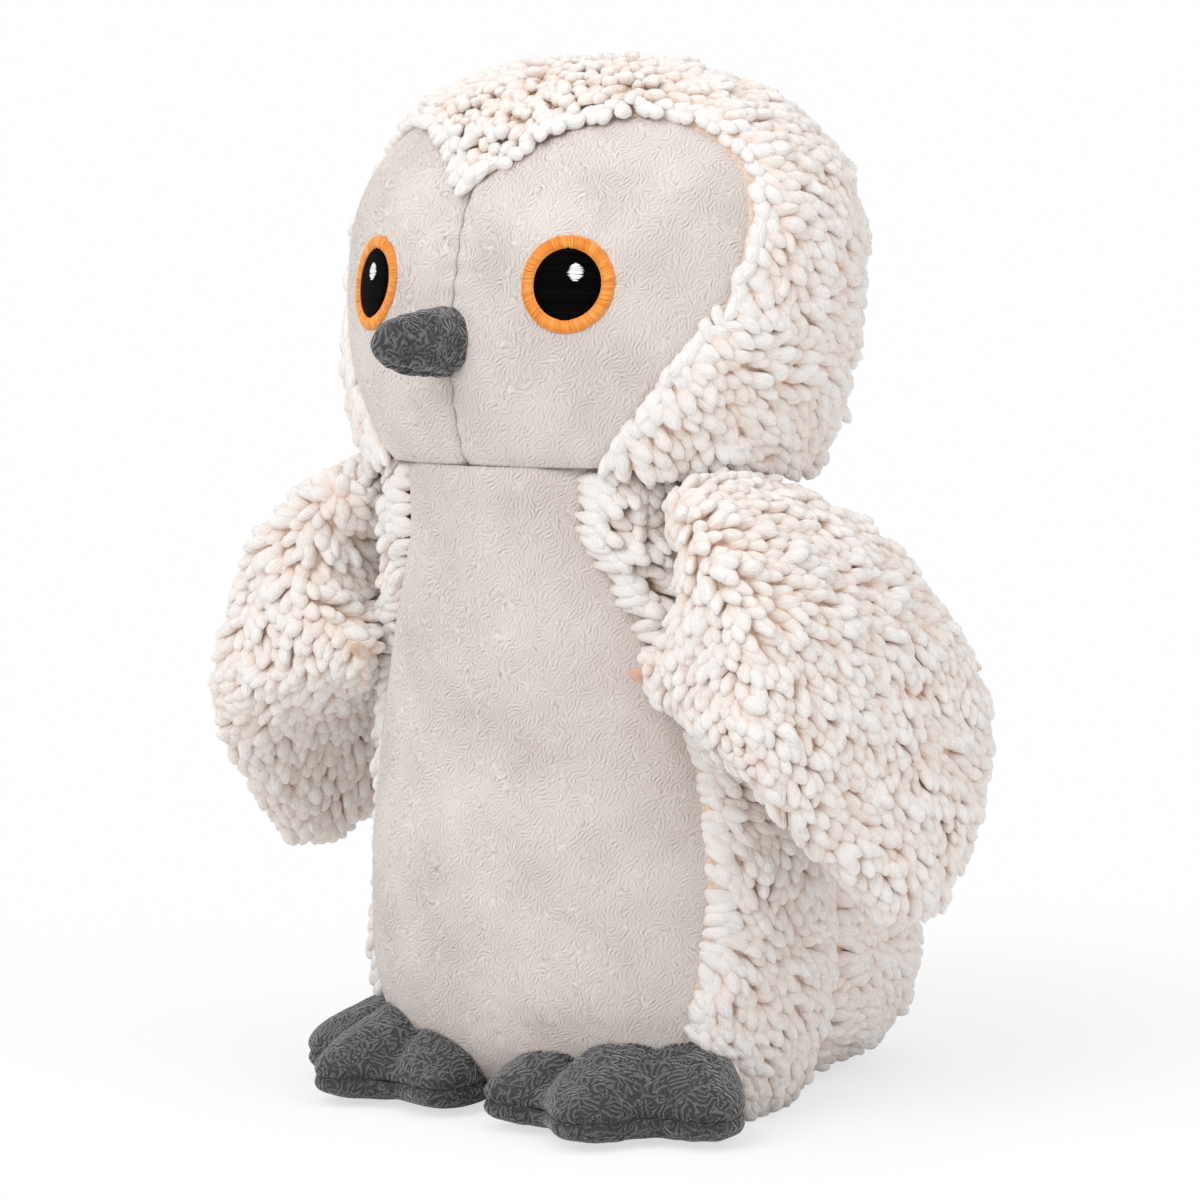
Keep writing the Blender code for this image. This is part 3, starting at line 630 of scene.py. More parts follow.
@dataclass(frozen=True)
class EmbossedMinky:
    """Polyester minky, embossed with swirls: dark in the hollows, paler where the pile's tips turn to the light."""

    low: str = "#3E3E3F"
    middle: str = "#4E4E4E"
    high: str = "#727171"
    ridge_mm: float = 1.4
    ridges_across: float = 2.2
    ridge_depth_mm: float = 0.3
    ridge_share: float = 0.35
    swirl_mm: float = 5.5
    roughness: float = 0.75

    def make(self) -> bpy.types.Material:
        """Winding ridges, with a painted highlight on their crests and painted shade in the folds of the mesh, so
        that the nap looks pressed.

        Returns:
            The material.
        """
        cloth = Look("embossed_minky")
        place, crest = cloth.place(), cloth.value("crest")
        ridges = cloth.node("TexGabor", {"Scale": per_metre(self.ridges_across * self.ridge_mm),
                                         "Frequency": self.ridges_across, "Anisotropy": 0.95},
                            {"Vector": place, "Orientation 3D": cloth.swirls(place, self.swirl_mm)}, gabor_type="3D")
        # The pattern's phase gives ridges of one height all over, which its value doesn't
        turns = cloth.node("Math", {1: math.tau}, {0: ridges.outputs["Phase"]}, operation="MULTIPLY").outputs[0]
        wave = cloth.node("Math", {}, {0: turns}, operation="COSINE").outputs[0]
        height = cloth.node("Math", {1: self.ridge_share}, {0: wave, 2: crest}, operation="MULTIPLY_ADD").outputs[0]
        # Colour by ridge height and the mesh's crest value: painted highlight on crests, painted shade in hollows and
        # seams
        colour = cloth.ramp(height, (0.10, self.low), (0.72, self.high), (0.48, self.middle))
        relief = cloth.bump(wave, 0.8, self.ridge_depth_mm)
        return cloth.finished(colour, relief, Roughness=self.roughness, Sheen_Weight=0.6, Sheen_Roughness=0.35,
                              Specular_IOR_Level=0.25)


@dataclass(frozen=True)
class SatinThread:
    """Rayon embroidery thread, satin stitched: smooth filaments with a soft gloss along each thread."""

    name: str
    low: str
    high: str
    roughness: float = 0.42
    gloss: float = 0.4
    ply_mm: float = 0.3
    ply_depth_mm: float = 0.1

    def make(self) -> bpy.types.Material:
        """Each thread in its own shade, with the fine ridges of its plies, so that the stitches stay apart.

        Returns:
            The material.
        """
        cloth = Look(self.name)
        ply = cloth.noise(cloth.place(), self.ply_mm, Detail=2.0).outputs["Fac"]
        colour = cloth.ramp(cloth.value("tint"), (0.0, self.low), (1.0, self.high))
        relief = cloth.bump(ply, 0.3, self.ply_depth_mm)
        return cloth.finished(colour, relief, Roughness=self.roughness, Specular_IOR_Level=self.gloss)


@dataclass(frozen=True)
class LooseFibre:
    """Polyester filling: carded white fibre, matt and a little uneven."""

    low: str = "#DAD8D3"
    high: str = "#F4F3F0"
    tuft_mm: float = 6.0
    tuft_depth_mm: float = 1.0
    roughness: float = 1.0

    def make(self) -> bpy.types.Material:
        """Soft tufts of fibre, painted greyer in their hollows as shade, so that the filling looks pulled apart by
        hand.

        Returns:
            The material.
        """
        cloth = Look("loose_polyester_fibre")
        tufts = cloth.noise(cloth.place(), self.tuft_mm, Detail=6.0, Distortion=1.5).outputs["Fac"]
        colour = cloth.ramp(tufts, (0.3, self.low), (0.7, self.high))
        relief = cloth.bump(tufts, 0.8, self.tuft_depth_mm)
        return cloth.finished(colour, relief, Roughness=self.roughness, Specular_IOR_Level=0.1)


@dataclass(frozen=True)
class PlainWovenCotton:
    """Plain-woven cotton lining: flat, matt threads over and under each other."""

    low: str = "#B9AD9C"
    high: str = "#DDD4C6"
    # Lining threads lie about 0.4 mm apart; they are drawn 0.9 mm apart so that the weave shows
    thread_mm: float = 0.9
    thread_depth_mm: float = 0.2
    roughness: float = 0.9

    def make(self) -> bpy.types.Material:
        """Two sets of bands at right angles, so that the lining looks woven and not knitted.

        Returns:
            The material.
        """
        cloth = Look("plain_woven_cotton")
        place = cloth.place()
        bands = [cloth.node("TexWave", {"Scale": per_metre(self.thread_mm) / math.tau, "Distortion": 0.6},
                            {"Vector": place}, bands_direction=axis) for axis in "XY"]
        weave = cloth.node("Math", {}, {0: bands[0].outputs["Fac"], 1: bands[1].outputs["Fac"]},
                           operation="MULTIPLY").outputs[0]
        # Darker where the weave dips, as painted shade
        colour = cloth.ramp(weave, (0.0, self.low), (1.0, self.high))
        relief = cloth.bump(weave, 0.5, self.thread_depth_mm)
        return cloth.finished(colour, relief, Roughness=self.roughness)


@dataclass(frozen=True)
class Finishes:
    """Every finish of the owl, made once."""

    yarn: bpy.types.Material
    knit: bpy.types.Material
    velour: bpy.types.Material
    minky: bpy.types.Material
    orange: bpy.types.Material
    black: bpy.types.Material
    white: bpy.types.Material
    fibre: bpy.types.Material
    cotton: bpy.types.Material

    @staticmethod
    def make() -> "Finishes":
        """Makes them all.

        Returns:
            The finishes.
        """
        return Finishes(yarn=SherpaYarn().make(), knit=KnitBacking().make(), velour=ShearedVelour().make(),
                        minky=EmbossedMinky().make(),
                        orange=SatinThread("orange_rayon_thread", "#EE8B28", "#FFB155").make(),
                        black=SatinThread("black_rayon_thread", "#020202", "#0B0A0A", roughness=0.62,
                                          gloss=0.03).make(),
                        white=SatinThread("white_rayon_thread", "#EDEAF4", "#FFFFFF").make(),
                        fibre=LooseFibre().make(), cotton=PlainWovenCotton().make())


def fit(piece: bpy.types.Object, body: str, slot: str, *nodes: str, fill: float | None = None) -> None:
    """Hangs a piece on its body and hides the solids that it stands for.

    Args:
        piece: the finished piece.
        body: the body that it rides on.
        slot: the record's material slot; not used.
        nodes: the solids that it replaces.
        fill: how tightly it is stuffed, where it is; not used.
    """
    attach(piece, body)
    if nodes:
        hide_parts(*nodes)


# Forms: each gives its surface at two shares from 0 to 1, swollen outwards from the filling

class Form:
    """A stuffed form's surface."""

    def at(self, u: Array, v: Array, swell: float) -> Array:
        """Points of the surface at shares u round it and v along it."""
        raise NotImplementedError

    def normals(self, u: Array, v: Array, swell: float) -> Array:
        """Directions square to the surface, pointing out.

        Args:
            u: shares round.
            v: shares along.
            swell: how far out of the filling.

        Returns:
            Unit directions.
        """
        step = 5e-4
        v = np.clip(v, 2 * step, 1 - 2 * step)
        round_way = self.at(u + step, v, swell) - self.at(u - step, v, swell)
        long_way = self.at(u, np.minimum(v + step, 1.0), swell) - self.at(u, np.maximum(v - step, 0.0), swell)
        square = np.cross(round_way, long_way)
        out = self.at(u, v, swell + MM) - self.at(u, v, swell)
        return unit(square) * np.where((square * out).sum(-1, keepdims=True) < 0, -1.0, 1.0)

    def under_crest(self, u: Array, v: Array, level: float | Array) -> Array:
        """Points in the fleece at a level over the filling, square to the pile's crest."""
        depth = np.broadcast_to(FLEECE - level, u.shape)[:, None]
        return self.at(u, v, FLEECE) - self.normals(u, v, FLEECE) * depth

    def shares(self, columns: int, rows: int) -> tuple[Array, Array]:
        """Shares u and v of a closed mesh's points, the two poles last."""
        v, u = np.meshgrid((np.arange(rows) + 0.5) / rows, np.arange(columns) / columns, indexing="ij")
        return np.concatenate([u.ravel(), [0.0, 0.0]]), np.concatenate([v.ravel(), [0.0, 1.0]])

    def ball(self, columns: int, rows: int, swell: float) -> tuple[Array, Array, Array]:
        """A closed mesh of the form: points, four-sided and three-sided faces."""
        return self.at(*self.shares(columns, rows), swell), *ball_faces(rows, columns)

    def scatter(self, spacing: float, seed: int, keep: Callable[[Array, Array], Array], crowd: int = 14,
                ) -> tuple[Array, Array]:
        """Places spread evenly over the part of the surface that is kept.

        Args:
            spacing: the least distance between two places.
            seed: what starts the draw.
            keep: says which places are kept, from the places and the directions out of the surface.
            crowd: places tried for each one that fits.

        Returns:
            The places, and the directions out of the surface there.
        """
        draw = np.random.default_rng(seed)
        grid = np.linspace(0.01, 0.99, 40)
        u, v = (axis.ravel() for axis in np.meshgrid(grid, grid))
        size = self.cell(u, v)
        most = size.max()
        tries = int(crowd * size.mean() / spacing**2 * (most / size.mean()))
        u, v = draw.uniform(0, 1, tries), draw.uniform(0, 1, tries)
        chosen = draw.uniform(0, 1, tries) < self.cell(u, v) / most
        u, v = u[chosen], v[chosen]
        normals = self.normals(u, v, FLEECE)
        places = self.at(u, v, FLEECE) - normals * FLEECE
        wanted = keep(places, normals)
        places, normals = places[wanted], normals[wanted]
        crests = places + normals * FLEECE * 0.7
        tree = KDTree(len(crests))
        for index, place in enumerate(crests):
            tree.insert(place, index)
        tree.balance()
        free = np.ones(len(crests), bool)
        taken = []
        for index, place in enumerate(crests):
            if free[index]:
                taken.append(index)
                free[[near[1] for near in tree.find_range(place, spacing)]] = False
        return places[taken], normals[taken]

    def cell(self, u: Array, v: Array) -> Array:
        """Area of the surface for a unit of u and v.

        Args:
            u: shares round.
            v: shares along.

        Returns:
            Square metres for a unit of each.
        """
        step = 1e-3
        v = np.clip(v, step, 1 - step)
        round_way = self.at(u + step, v, FLEECE) - self.at(u - step, v, FLEECE)
        long_way = self.at(u, v + step, FLEECE) - self.at(u, v - step, FLEECE)
        return np.linalg.norm(np.cross(round_way, long_way), axis=1) / (2 * step) ** 2


@dataclass(frozen=True)
class HeadForm(Form):
    """The head's filling: a rounded block, fuller in front, leaning forward with height."""

    centre: tuple[float, float, float] = (0.0, -2 * MM, 241 * MM)
    half_width: float = 75 * MM
    front: float = 57.5 * MM
    back: float = 54 * MM
    crown: float = 48.5 * MM
    drop: float = 90 * MM
    lean: float = 0.20
    front_power: float = 2.05
    back_power: float = 2.2
    side_power: float = 2.25

    def at(self, u: Array, v: Array, swell: float) -> Array:
        """Points at longitude shares u and latitude shares v.

        Args:
            u: shares round the form.
            v: shares along it.
            swell: how far out of the filling.

        Returns:
            The points.
        """
        way = globe(u, v)
        ahead = way[..., 1] < 0
        power = np.where(ahead, self.front_power, self.back_power)
        depth = np.where(ahead, self.front, self.back) + swell
        height = np.where(way[..., 2] > 0, self.crown, self.drop) + swell
        plan = (np.abs(way[..., 0]) / (self.half_width + swell)) ** power + (np.abs(way[..., 1]) / depth) ** power
        total = plan ** (self.side_power / power) + (np.abs(way[..., 2]) / height) ** self.side_power
        place = way * total[..., None] ** (-1 / self.side_power)
        place[..., 1] += self.lean * place[..., 2] * np.maximum(0.0, -way[..., 1])
        return place + np.array(self.centre)

    def front_place(self, across: Array, height: Array, swell: float | Array) -> Array:
        """Points of the front at a distance across and a height.

        Args:
            across: X, or the width's direction.
            height: Z.
            swell: how far out of the filling.

        Returns:
            Places in space.
        """
        up = height - self.centre[2]
        tall = np.where(up > 0, self.crown, self.drop) + swell
        left = np.clip(1 - np.abs(up / tall) ** self.side_power, TINY, 1.0) ** (self.front_power / self.side_power)
        share = np.clip(left - np.abs(across / (self.half_width + swell)) ** self.front_power, TINY, 1.0)
        ahead = -(self.front + swell) * share ** (1 / self.front_power)
        reach = np.sqrt(across**2 + ahead**2 + up**2)
        ahead = ahead + self.lean * up * np.maximum(0.0, -ahead / reach)
        return np.stack([across, ahead + self.centre[1], height], axis=-1)


@dataclass(frozen=True)
class BodyForm(Form):
    """The body's filling: a standing bag, widest low down."""

    half_width: float = 66 * MM
    front: float = 54 * MM
    back: float = 43 * MM
    power: float = 2.3
    up_shares: tuple[float, ...] = (0.000, 0.066, 0.164, 0.328, 0.546, 0.738, 0.902, 1.000)
    width_shares: tuple[float, ...] = (0.790, 0.910, 0.985, 1.000, 0.950, 0.820, 0.700, 0.670)
    front_shares: tuple[float, ...] = (0.540, 0.790, 0.940, 1.000, 0.990, 0.990, 1.010, 1.060)
    back_shares: tuple[float, ...] = (0.840, 0.930, 0.980, 1.000, 0.980, 0.910, 0.840, 0.810)

    def section(self, height: Array) -> tuple[Array, Array, Array]:
        """Half width, front depth and back depth at a height.

        Args:
            height: Z.

        Returns:
            The three, at each height.
        """
        share = height / NECK_HEIGHT
        return (self.half_width * smooth(self.up_shares, self.width_shares, share),
                self.front * smooth(self.up_shares, self.front_shares, share),
                self.back * smooth(self.up_shares, self.back_shares, share))

    def reach(self, across: Array, along: Array, height: Array, swell: float | Array) -> Array:
        """Distance from the middle to the surface in the direction (across, along).

        Args:
            across: X, or the width's direction.
            along: the depth's direction.
            height: Z.
            swell: how far out of the filling.

        Returns:
            Metres.
        """
        width, front, back = self.section(height)
        depth = np.where(along < 0, front, back) + swell
        return ((np.abs(across) / (width + swell)) ** self.power
                + (np.abs(along) / depth) ** self.power) ** (-1 / self.power)

    def at(self, u: Array, v: Array, swell: float) -> Array:
        """Points at longitude shares u and height shares v.

        Args:
            u: shares round.
            v: shares along.
            swell: how far out of the filling.

        Returns:
            Places in space.
        """
        across, along, height = np.cos(u * math.tau), np.sin(u * math.tau), v * NECK_HEIGHT
        reach = self.reach(across, along, height, swell)
        return np.stack([across * reach, along * reach, height], axis=-1)

    def front_place(self, across: Array, height: Array, swell: float | Array) -> Array:
        """Points of the front at a distance across and a height.

        Args:
            across: X, or the width's direction.
            height: Z.
            swell: how far out of the filling.

        Returns:
            Places in space.
        """
        width, front, _ = self.section(height)
        share = np.clip(1 - np.abs(across / (width + swell)) ** self.power, TINY, 1.0)
        return np.stack([across, -(front + swell) * share ** (1 / self.power), height], axis=-1)

    def pushed_back(self, points: Array, swell: float) -> Array:
        """Points moved back along Y, out of the swollen body to the surface of its back.

        Args:
            points: the points.
            swell: how far out of the filling.

        Returns:
            The moved points.
        """
        width, _, back = self.section(points[..., 2])
        share = np.clip(1 - np.abs(points[..., 0] / (width + swell)) ** self.power, 0.0, 1.0)
        moved = points.copy()
        moved[..., 1] = np.maximum(points[..., 1], (back + swell) * share ** (1 / self.power))
        return moved

    def pushed_out(self, points: Array, swell: float | Array) -> Array:
        """Points moved level, out of the swollen body to its surface, where they lie in it.

        Args:
            points: the points.
            swell: how far out of the filling.

        Returns:
            The moved points.
        """
        plan = np.maximum(np.hypot(points[..., 0], points[..., 1]), TINY)
        reach = self.reach(points[..., 0] / plan, points[..., 1] / plan, points[..., 2], swell)
        factor = np.maximum(1.0, reach / plan)
        return points * np.stack([factor, factor, np.ones_like(factor)], axis=-1)

    def gap(self, points: Array, swell: float = 0.0) -> Array:
        """How far points stand out of the swollen body, level."""
        plan = np.maximum(np.hypot(points[..., 0], points[..., 1]), TINY)
        return plan - self.reach(points[..., 0] / plan, points[..., 1] / plan, points[..., 2], swell)


@dataclass(frozen=True)
class TailForm(Form):
    """The tail's filling: a broad low wedge at the foot of the back."""

    body: BodyForm
    half_width: float = 52 * MM
    half_length: float = 65 * MM
    half_height: float = 34 * MM
    set_back: float = 38 * MM
    floor_clearance: float = 4 * MM
    power: float = 2.8

    def at(self, u: Array, v: Array, swell: float) -> Array:
        """Points at longitude shares u and latitude shares v.

        Args:
            u: shares round.
            v: shares along.
            swell: how far out of the filling.

        Returns:
            Places in space.
        """
        way = globe(u, v)
        sizes = np.array([self.half_width, self.half_length, self.half_height]) + swell
        total = (np.abs(way / sizes) ** self.power).sum(-1, keepdims=True)
        middle = np.array([0.0, self.set_back, self.floor_clearance + self.half_height])
        return way * total ** (-1 / self.power) + middle


@dataclass(frozen=True)
class BeakForm(Form):
    """The beak's filling: a blunt cone whose poles are its root in the head and its tip."""

    head: HeadForm
    height: float = 217 * MM
    half_width: float = 5.8 * MM
    half_height: float = 9 * MM
    reach: float = 29 * MM
    root_depth: float = 12 * MM
    tip_share: float = 0.66
    droop: float = 0.8 * MM
    power: float = 2.6

    def at(self, u: Array, v: Array, swell: float) -> Array:
        """Points at shares u round the beak and v along it.

        Args:
            u: shares round the form.
            v: shares along it.
            swell: how far out of the filling.

        Returns:
            The points.
        """
        drop = (self.head.centre[2] - self.height) / self.head.drop
        root = self.head.at(np.full(1, 0.75), np.full(1, math.asin(-drop) / math.pi + 0.5), 0.0)[0]
        longitude, latitude = u * math.tau, (v - 0.5) * math.pi
        length = self.root_depth + self.reach
        along = signed_power(np.sin(latitude), 2 / self.power) * (length / 2 + swell)
        ring = np.abs(np.cos(latitude)) ** (2 / self.power)
        way = (along + length / 2) / length
        taper = 1 - (1 - self.tip_share) * np.maximum(0.0, way)
        across = np.cos(longitude) * (self.half_width * taper + swell) * ring
        up = np.sin(longitude) * (self.half_height * taper + swell) * ring
        middle = root[1] + self.root_depth - length / 2
        return np.stack([across, middle - along, self.height + up - self.droop * way], axis=-1)


@dataclass(frozen=True)
class WingForm(Form):
    """The left wing's filling: a bent pad whose midline runs out and down from the shoulder."""

    body: BodyForm
    length: float = 112 * MM
    root_radius: float = 6.5 * MM
    axis_height: float = NECK_HEIGHT - 14 * MM
    axis_out: float = 66.473 * MM
    tip_rounding: float = 8 * MM
    half_chord: float = 47.5 * MM
    set_forward: float = 21 * MM
    power: float = 2.3
    closing_power: float = 0.5
    along_shares: tuple[float, ...] = (0.00, 0.10, 0.25, 0.40, 0.55, 0.70, 0.82, 0.92, 1.00)
    chord_shares: tuple[float, ...] = (0.42, 0.60, 0.78, 0.90, 1.00, 0.91, 0.69, 0.47, 0.26)
    forward_shares: tuple[float, ...] = (1.00, 0.81, 0.55, 0.33, 0.19, 0.12, 0.05, 0.02, 0.12)
    thick_shares: tuple[float, ...] = (1.00, 1.08, 1.08, 1.00, 0.92, 0.77, 0.62, 0.50, 0.40)
    inner_full_shares: tuple[float, ...] = (0.00, 1.20, 3.60, 3.80, 2.00, 0.30, 0.00, 0.00, 0.00)
    slopes: tuple[float, ...] = (-30.0, -40.0, -62.0, -74.0, -77.0, -76.0, -74.0, -72.0, -70.0)
    steps: int = 240

    def midline(self, share: Array) -> tuple[Array, Array, Array]:
        """Distance out, height and slope of the wing's middle at shares of its length.

        Args:
            share: shares of the length.

        Returns:
            The three, at each share.
        """
        stops = np.linspace(0, 1, self.steps)
        slopes = np.radians(smooth(self.along_shares, self.slopes, stops))
        middle = (slopes[1:] + slopes[:-1]) / 2
        step = self.length / (self.steps - 1)
        out = self.axis_out + step * np.concatenate([[0], np.cumsum(np.cos(middle))])
        height = self.axis_height + step * np.concatenate([[0], np.cumsum(np.sin(middle))])
        inside = np.clip(share, 0, 1)
        slope = np.interp(inside, stops, slopes)
        run = self.length * (share - inside)
        return (np.interp(inside, stops, out) + run * np.cos(slope),
                np.interp(inside, stops, height) + run * np.sin(slope), slope)

    def at(self, u: Array, v: Array, swell: float) -> Array:
        """Points at shares u round the wing and v from its root to its tip, kept clear of the body.

        Args:
            u: shares round the form.
            v: shares along it.
            swell: how far out of the filling.

        Returns:
            The points.
        """
        longitude = u * math.tau
        radius, tip = self.root_radius + swell, self.tip_rounding + swell
        travel = (self.length + radius + swell) * v - radius
        share = travel / self.length
        root_end = np.sqrt(np.maximum(0.0, 1 - (np.minimum(travel, 0.0) / radius) ** 2))
        past = np.maximum(0.0, travel - (self.length + swell - tip)) / tip
        closing = np.minimum(root_end, np.sqrt(np.maximum(0.0, 1 - np.minimum(past, 1.0) ** 2)))
        thick = self.root_radius * smooth(self.along_shares, self.thick_shares, share) + swell
        chord = self.half_chord * smooth(self.along_shares, self.chord_shares, share) + swell
        centre = -self.set_forward * smooth(self.along_shares, self.forward_shares, share)
        along = signed_power(np.cos(longitude), 2 / self.power) * chord * closing**self.closing_power
        outward = signed_power(np.sin(longitude), 2 / self.power) * thick * closing
        frontness = (1 - np.cos(longitude)) / 2
        fuller = 1 + frontness * smooth(self.along_shares, self.inner_full_shares, share)
        outward = np.where(outward < 0, outward * fuller, outward)
        out, height, slope = self.midline(share)
        place = np.stack([out - outward * np.sin(slope), centre + along, height + outward * np.cos(slope)], axis=-1)
        return self.body.pushed_out(place, 2 * FLEECE + GAP - swell)


@dataclass(frozen=True)
class FootForm(Form):
    """The left foot's filling: three toes round a heel."""

    body: BodyForm
    heel_out: float = 35 * MM
    heel_forward: float = 14 * MM
    turn_degrees: float = 15.0
    heel_radius: float = 18 * MM
    seam_height: float = 8.5 * MM
    top_rise: float = 24.5 * MM
    toe_rise_share: float = 0.46
    sole_flat: float = 0.5 * MM
    edge_power: float = 0.80
    top_power: float = 0.80
    under_power: float = 0.60
    toe_reaches: tuple[float, ...] = (33 * MM, 33.5 * MM, 30 * MM)
    toe_angles: tuple[float, ...] = (-44.0, -3.0, 42.0)
    toe_spreads: tuple[float, ...] = (23.0, 20.0, 25.0)
    crease_angles: tuple[float, ...] = (-24.5, 19.5)
    crease_width: float = 5.0
    crease_depths: tuple[float, ...] = (2.6 * MM, 1.0 * MM)

    def reach(self, angle: Array) -> Array:
        """Distance from the heel to the edge, at an angle from the foot's forward direction.

        Args:
            angle: degrees turned, in radians.

        Returns:
            Metres.
        """
        total = np.full_like(angle, self.heel_radius)
        for length, middle, spread in zip(self.toe_reaches, self.toe_angles, self.toe_spreads):
            away = (np.degrees(angle) - middle + 180) % 360 - 180
            total = total + length * bell(away, spread)
        return total

    def crease(self, angle: Array, share: Array) -> Array:
        """Depth of the valleys between the toes, which fade towards the ankle.

        Args:
            angle: degrees turned, in radians.
            share: share of the way out.

        Returns:
            Metres.
        """
        total = np.zeros_like(angle)
        for middle, depth in zip(self.crease_angles, self.crease_depths):
            away = (np.degrees(angle) - middle + 180) % 360 - 180
            total = total + depth * bell(away, self.crease_width)
        return total * rise(0.35, 0.75, share) * (1 - 0.5 * rise(0.9, 1.0, share))

    def at(self, u: Array, v: Array, swell: float) -> Array:
        """Points at shares u round the foot and v from under the heel to over it, kept out of the belly."""
        return self.body.pushed_out(self.whole(u, v, swell), VELOUR + GAP)

    def whole(self, u: Array, v: Array, swell: float) -> Array:
        """The same points before the belly pushes them out.

        Args:
            u: shares round the form.
            v: shares along it.
            swell: how far out of the filling.

        Returns:
            The points.
        """
        angle, latitude = u * math.tau, (v - 0.5) * math.pi
        share = np.abs(np.cos(latitude)) ** self.edge_power
        reach = (self.reach(angle) + swell) * share
        furthest = self.heel_radius + max(self.toe_reaches)
        top = self.top_rise * (1 - (1 - self.toe_rise_share) * np.minimum(1.0, reach / furthest)) + swell
        under = self.seam_height + self.sole_flat - MINKY + swell
        level = np.abs(np.sin(latitude))
        lifted = np.where(latitude > 0, top * level**self.top_power - self.crease(angle, share),
                          -under * level**self.under_power)
        heading = angle + math.radians(self.turn_degrees)
        return np.stack([self.heel_out + reach * np.sin(heading), -(self.heel_forward + reach * np.cos(heading)),
                         np.maximum(self.seam_height + lifted, FLOOR_CLEARANCE)], axis=-1)


# Outlines of the velour panels, where the fleece stops

@dataclass(frozen=True)
class PanelOutline:
    """Half of a panel's edge in shares of its half width and its height, and the height that it starts from."""

    half_width: float
    height: float
    foot: float
    across_shares: tuple[float, ...]
    up_shares: tuple[float, ...]
    steps: int = 120

    def half(self) -> Array:
        """The left half's course.

        Returns:
            Points in X and Z, in order.
        """
        course, at = np.linspace(0, 1, len(self.across_shares)), np.linspace(0, 1, self.steps)
        return np.stack([smooth(course, self.across_shares, at) * self.half_width,
                         smooth(course, self.up_shares, at) * self.height + self.foot], axis=1)

    def whole(self) -> Array:
        """Both halves as one closed outline."""
        half = self.half()
        return np.concatenate([half, half[::-1] * [-1, 1]])


@dataclass(frozen=True)
class FaceOutline(PanelOutline):
    """The face's two lobes, from the peak between them down to below the neck."""

    half_width: float = 70 * MM
    height: float = 93.5 * MM
    foot: float = NECK_HEIGHT
    across_shares: tuple[float, ...] = (0.00, 0.14, 0.34, 0.56, 0.76, 0.93, 1.00, 1.00, 0.96, 0.80, 0.64, 0.52, 0.46)
    up_shares: tuple[float, ...] = (0.80, 0.88, 0.97, 1.00, 0.97, 0.87, 0.74, 0.61, 0.48, 0.27, 0.09, 0.00, -0.10)


@dataclass(frozen=True)
class BellyOutline(PanelOutline):
    """The belly's edge from below the floor to above the neck."""

    half_width: float = 60.8 * MM
    height: float = NECK_HEIGHT
    foot: float = 0.0
    across_shares: tuple[float, ...] = (0.40, 0.62, 0.85, 0.95, 1.00, 0.985, 0.94, 0.84, 0.74, 0.62, 0.52, 0.53, 0.56)
    up_shares: tuple[float, ...] = (-0.08, 0.00, 0.10, 0.19, 0.33, 0.44, 0.55, 0.66, 0.74, 0.83, 0.90, 1.00, 1.08)


# The fleece's pile

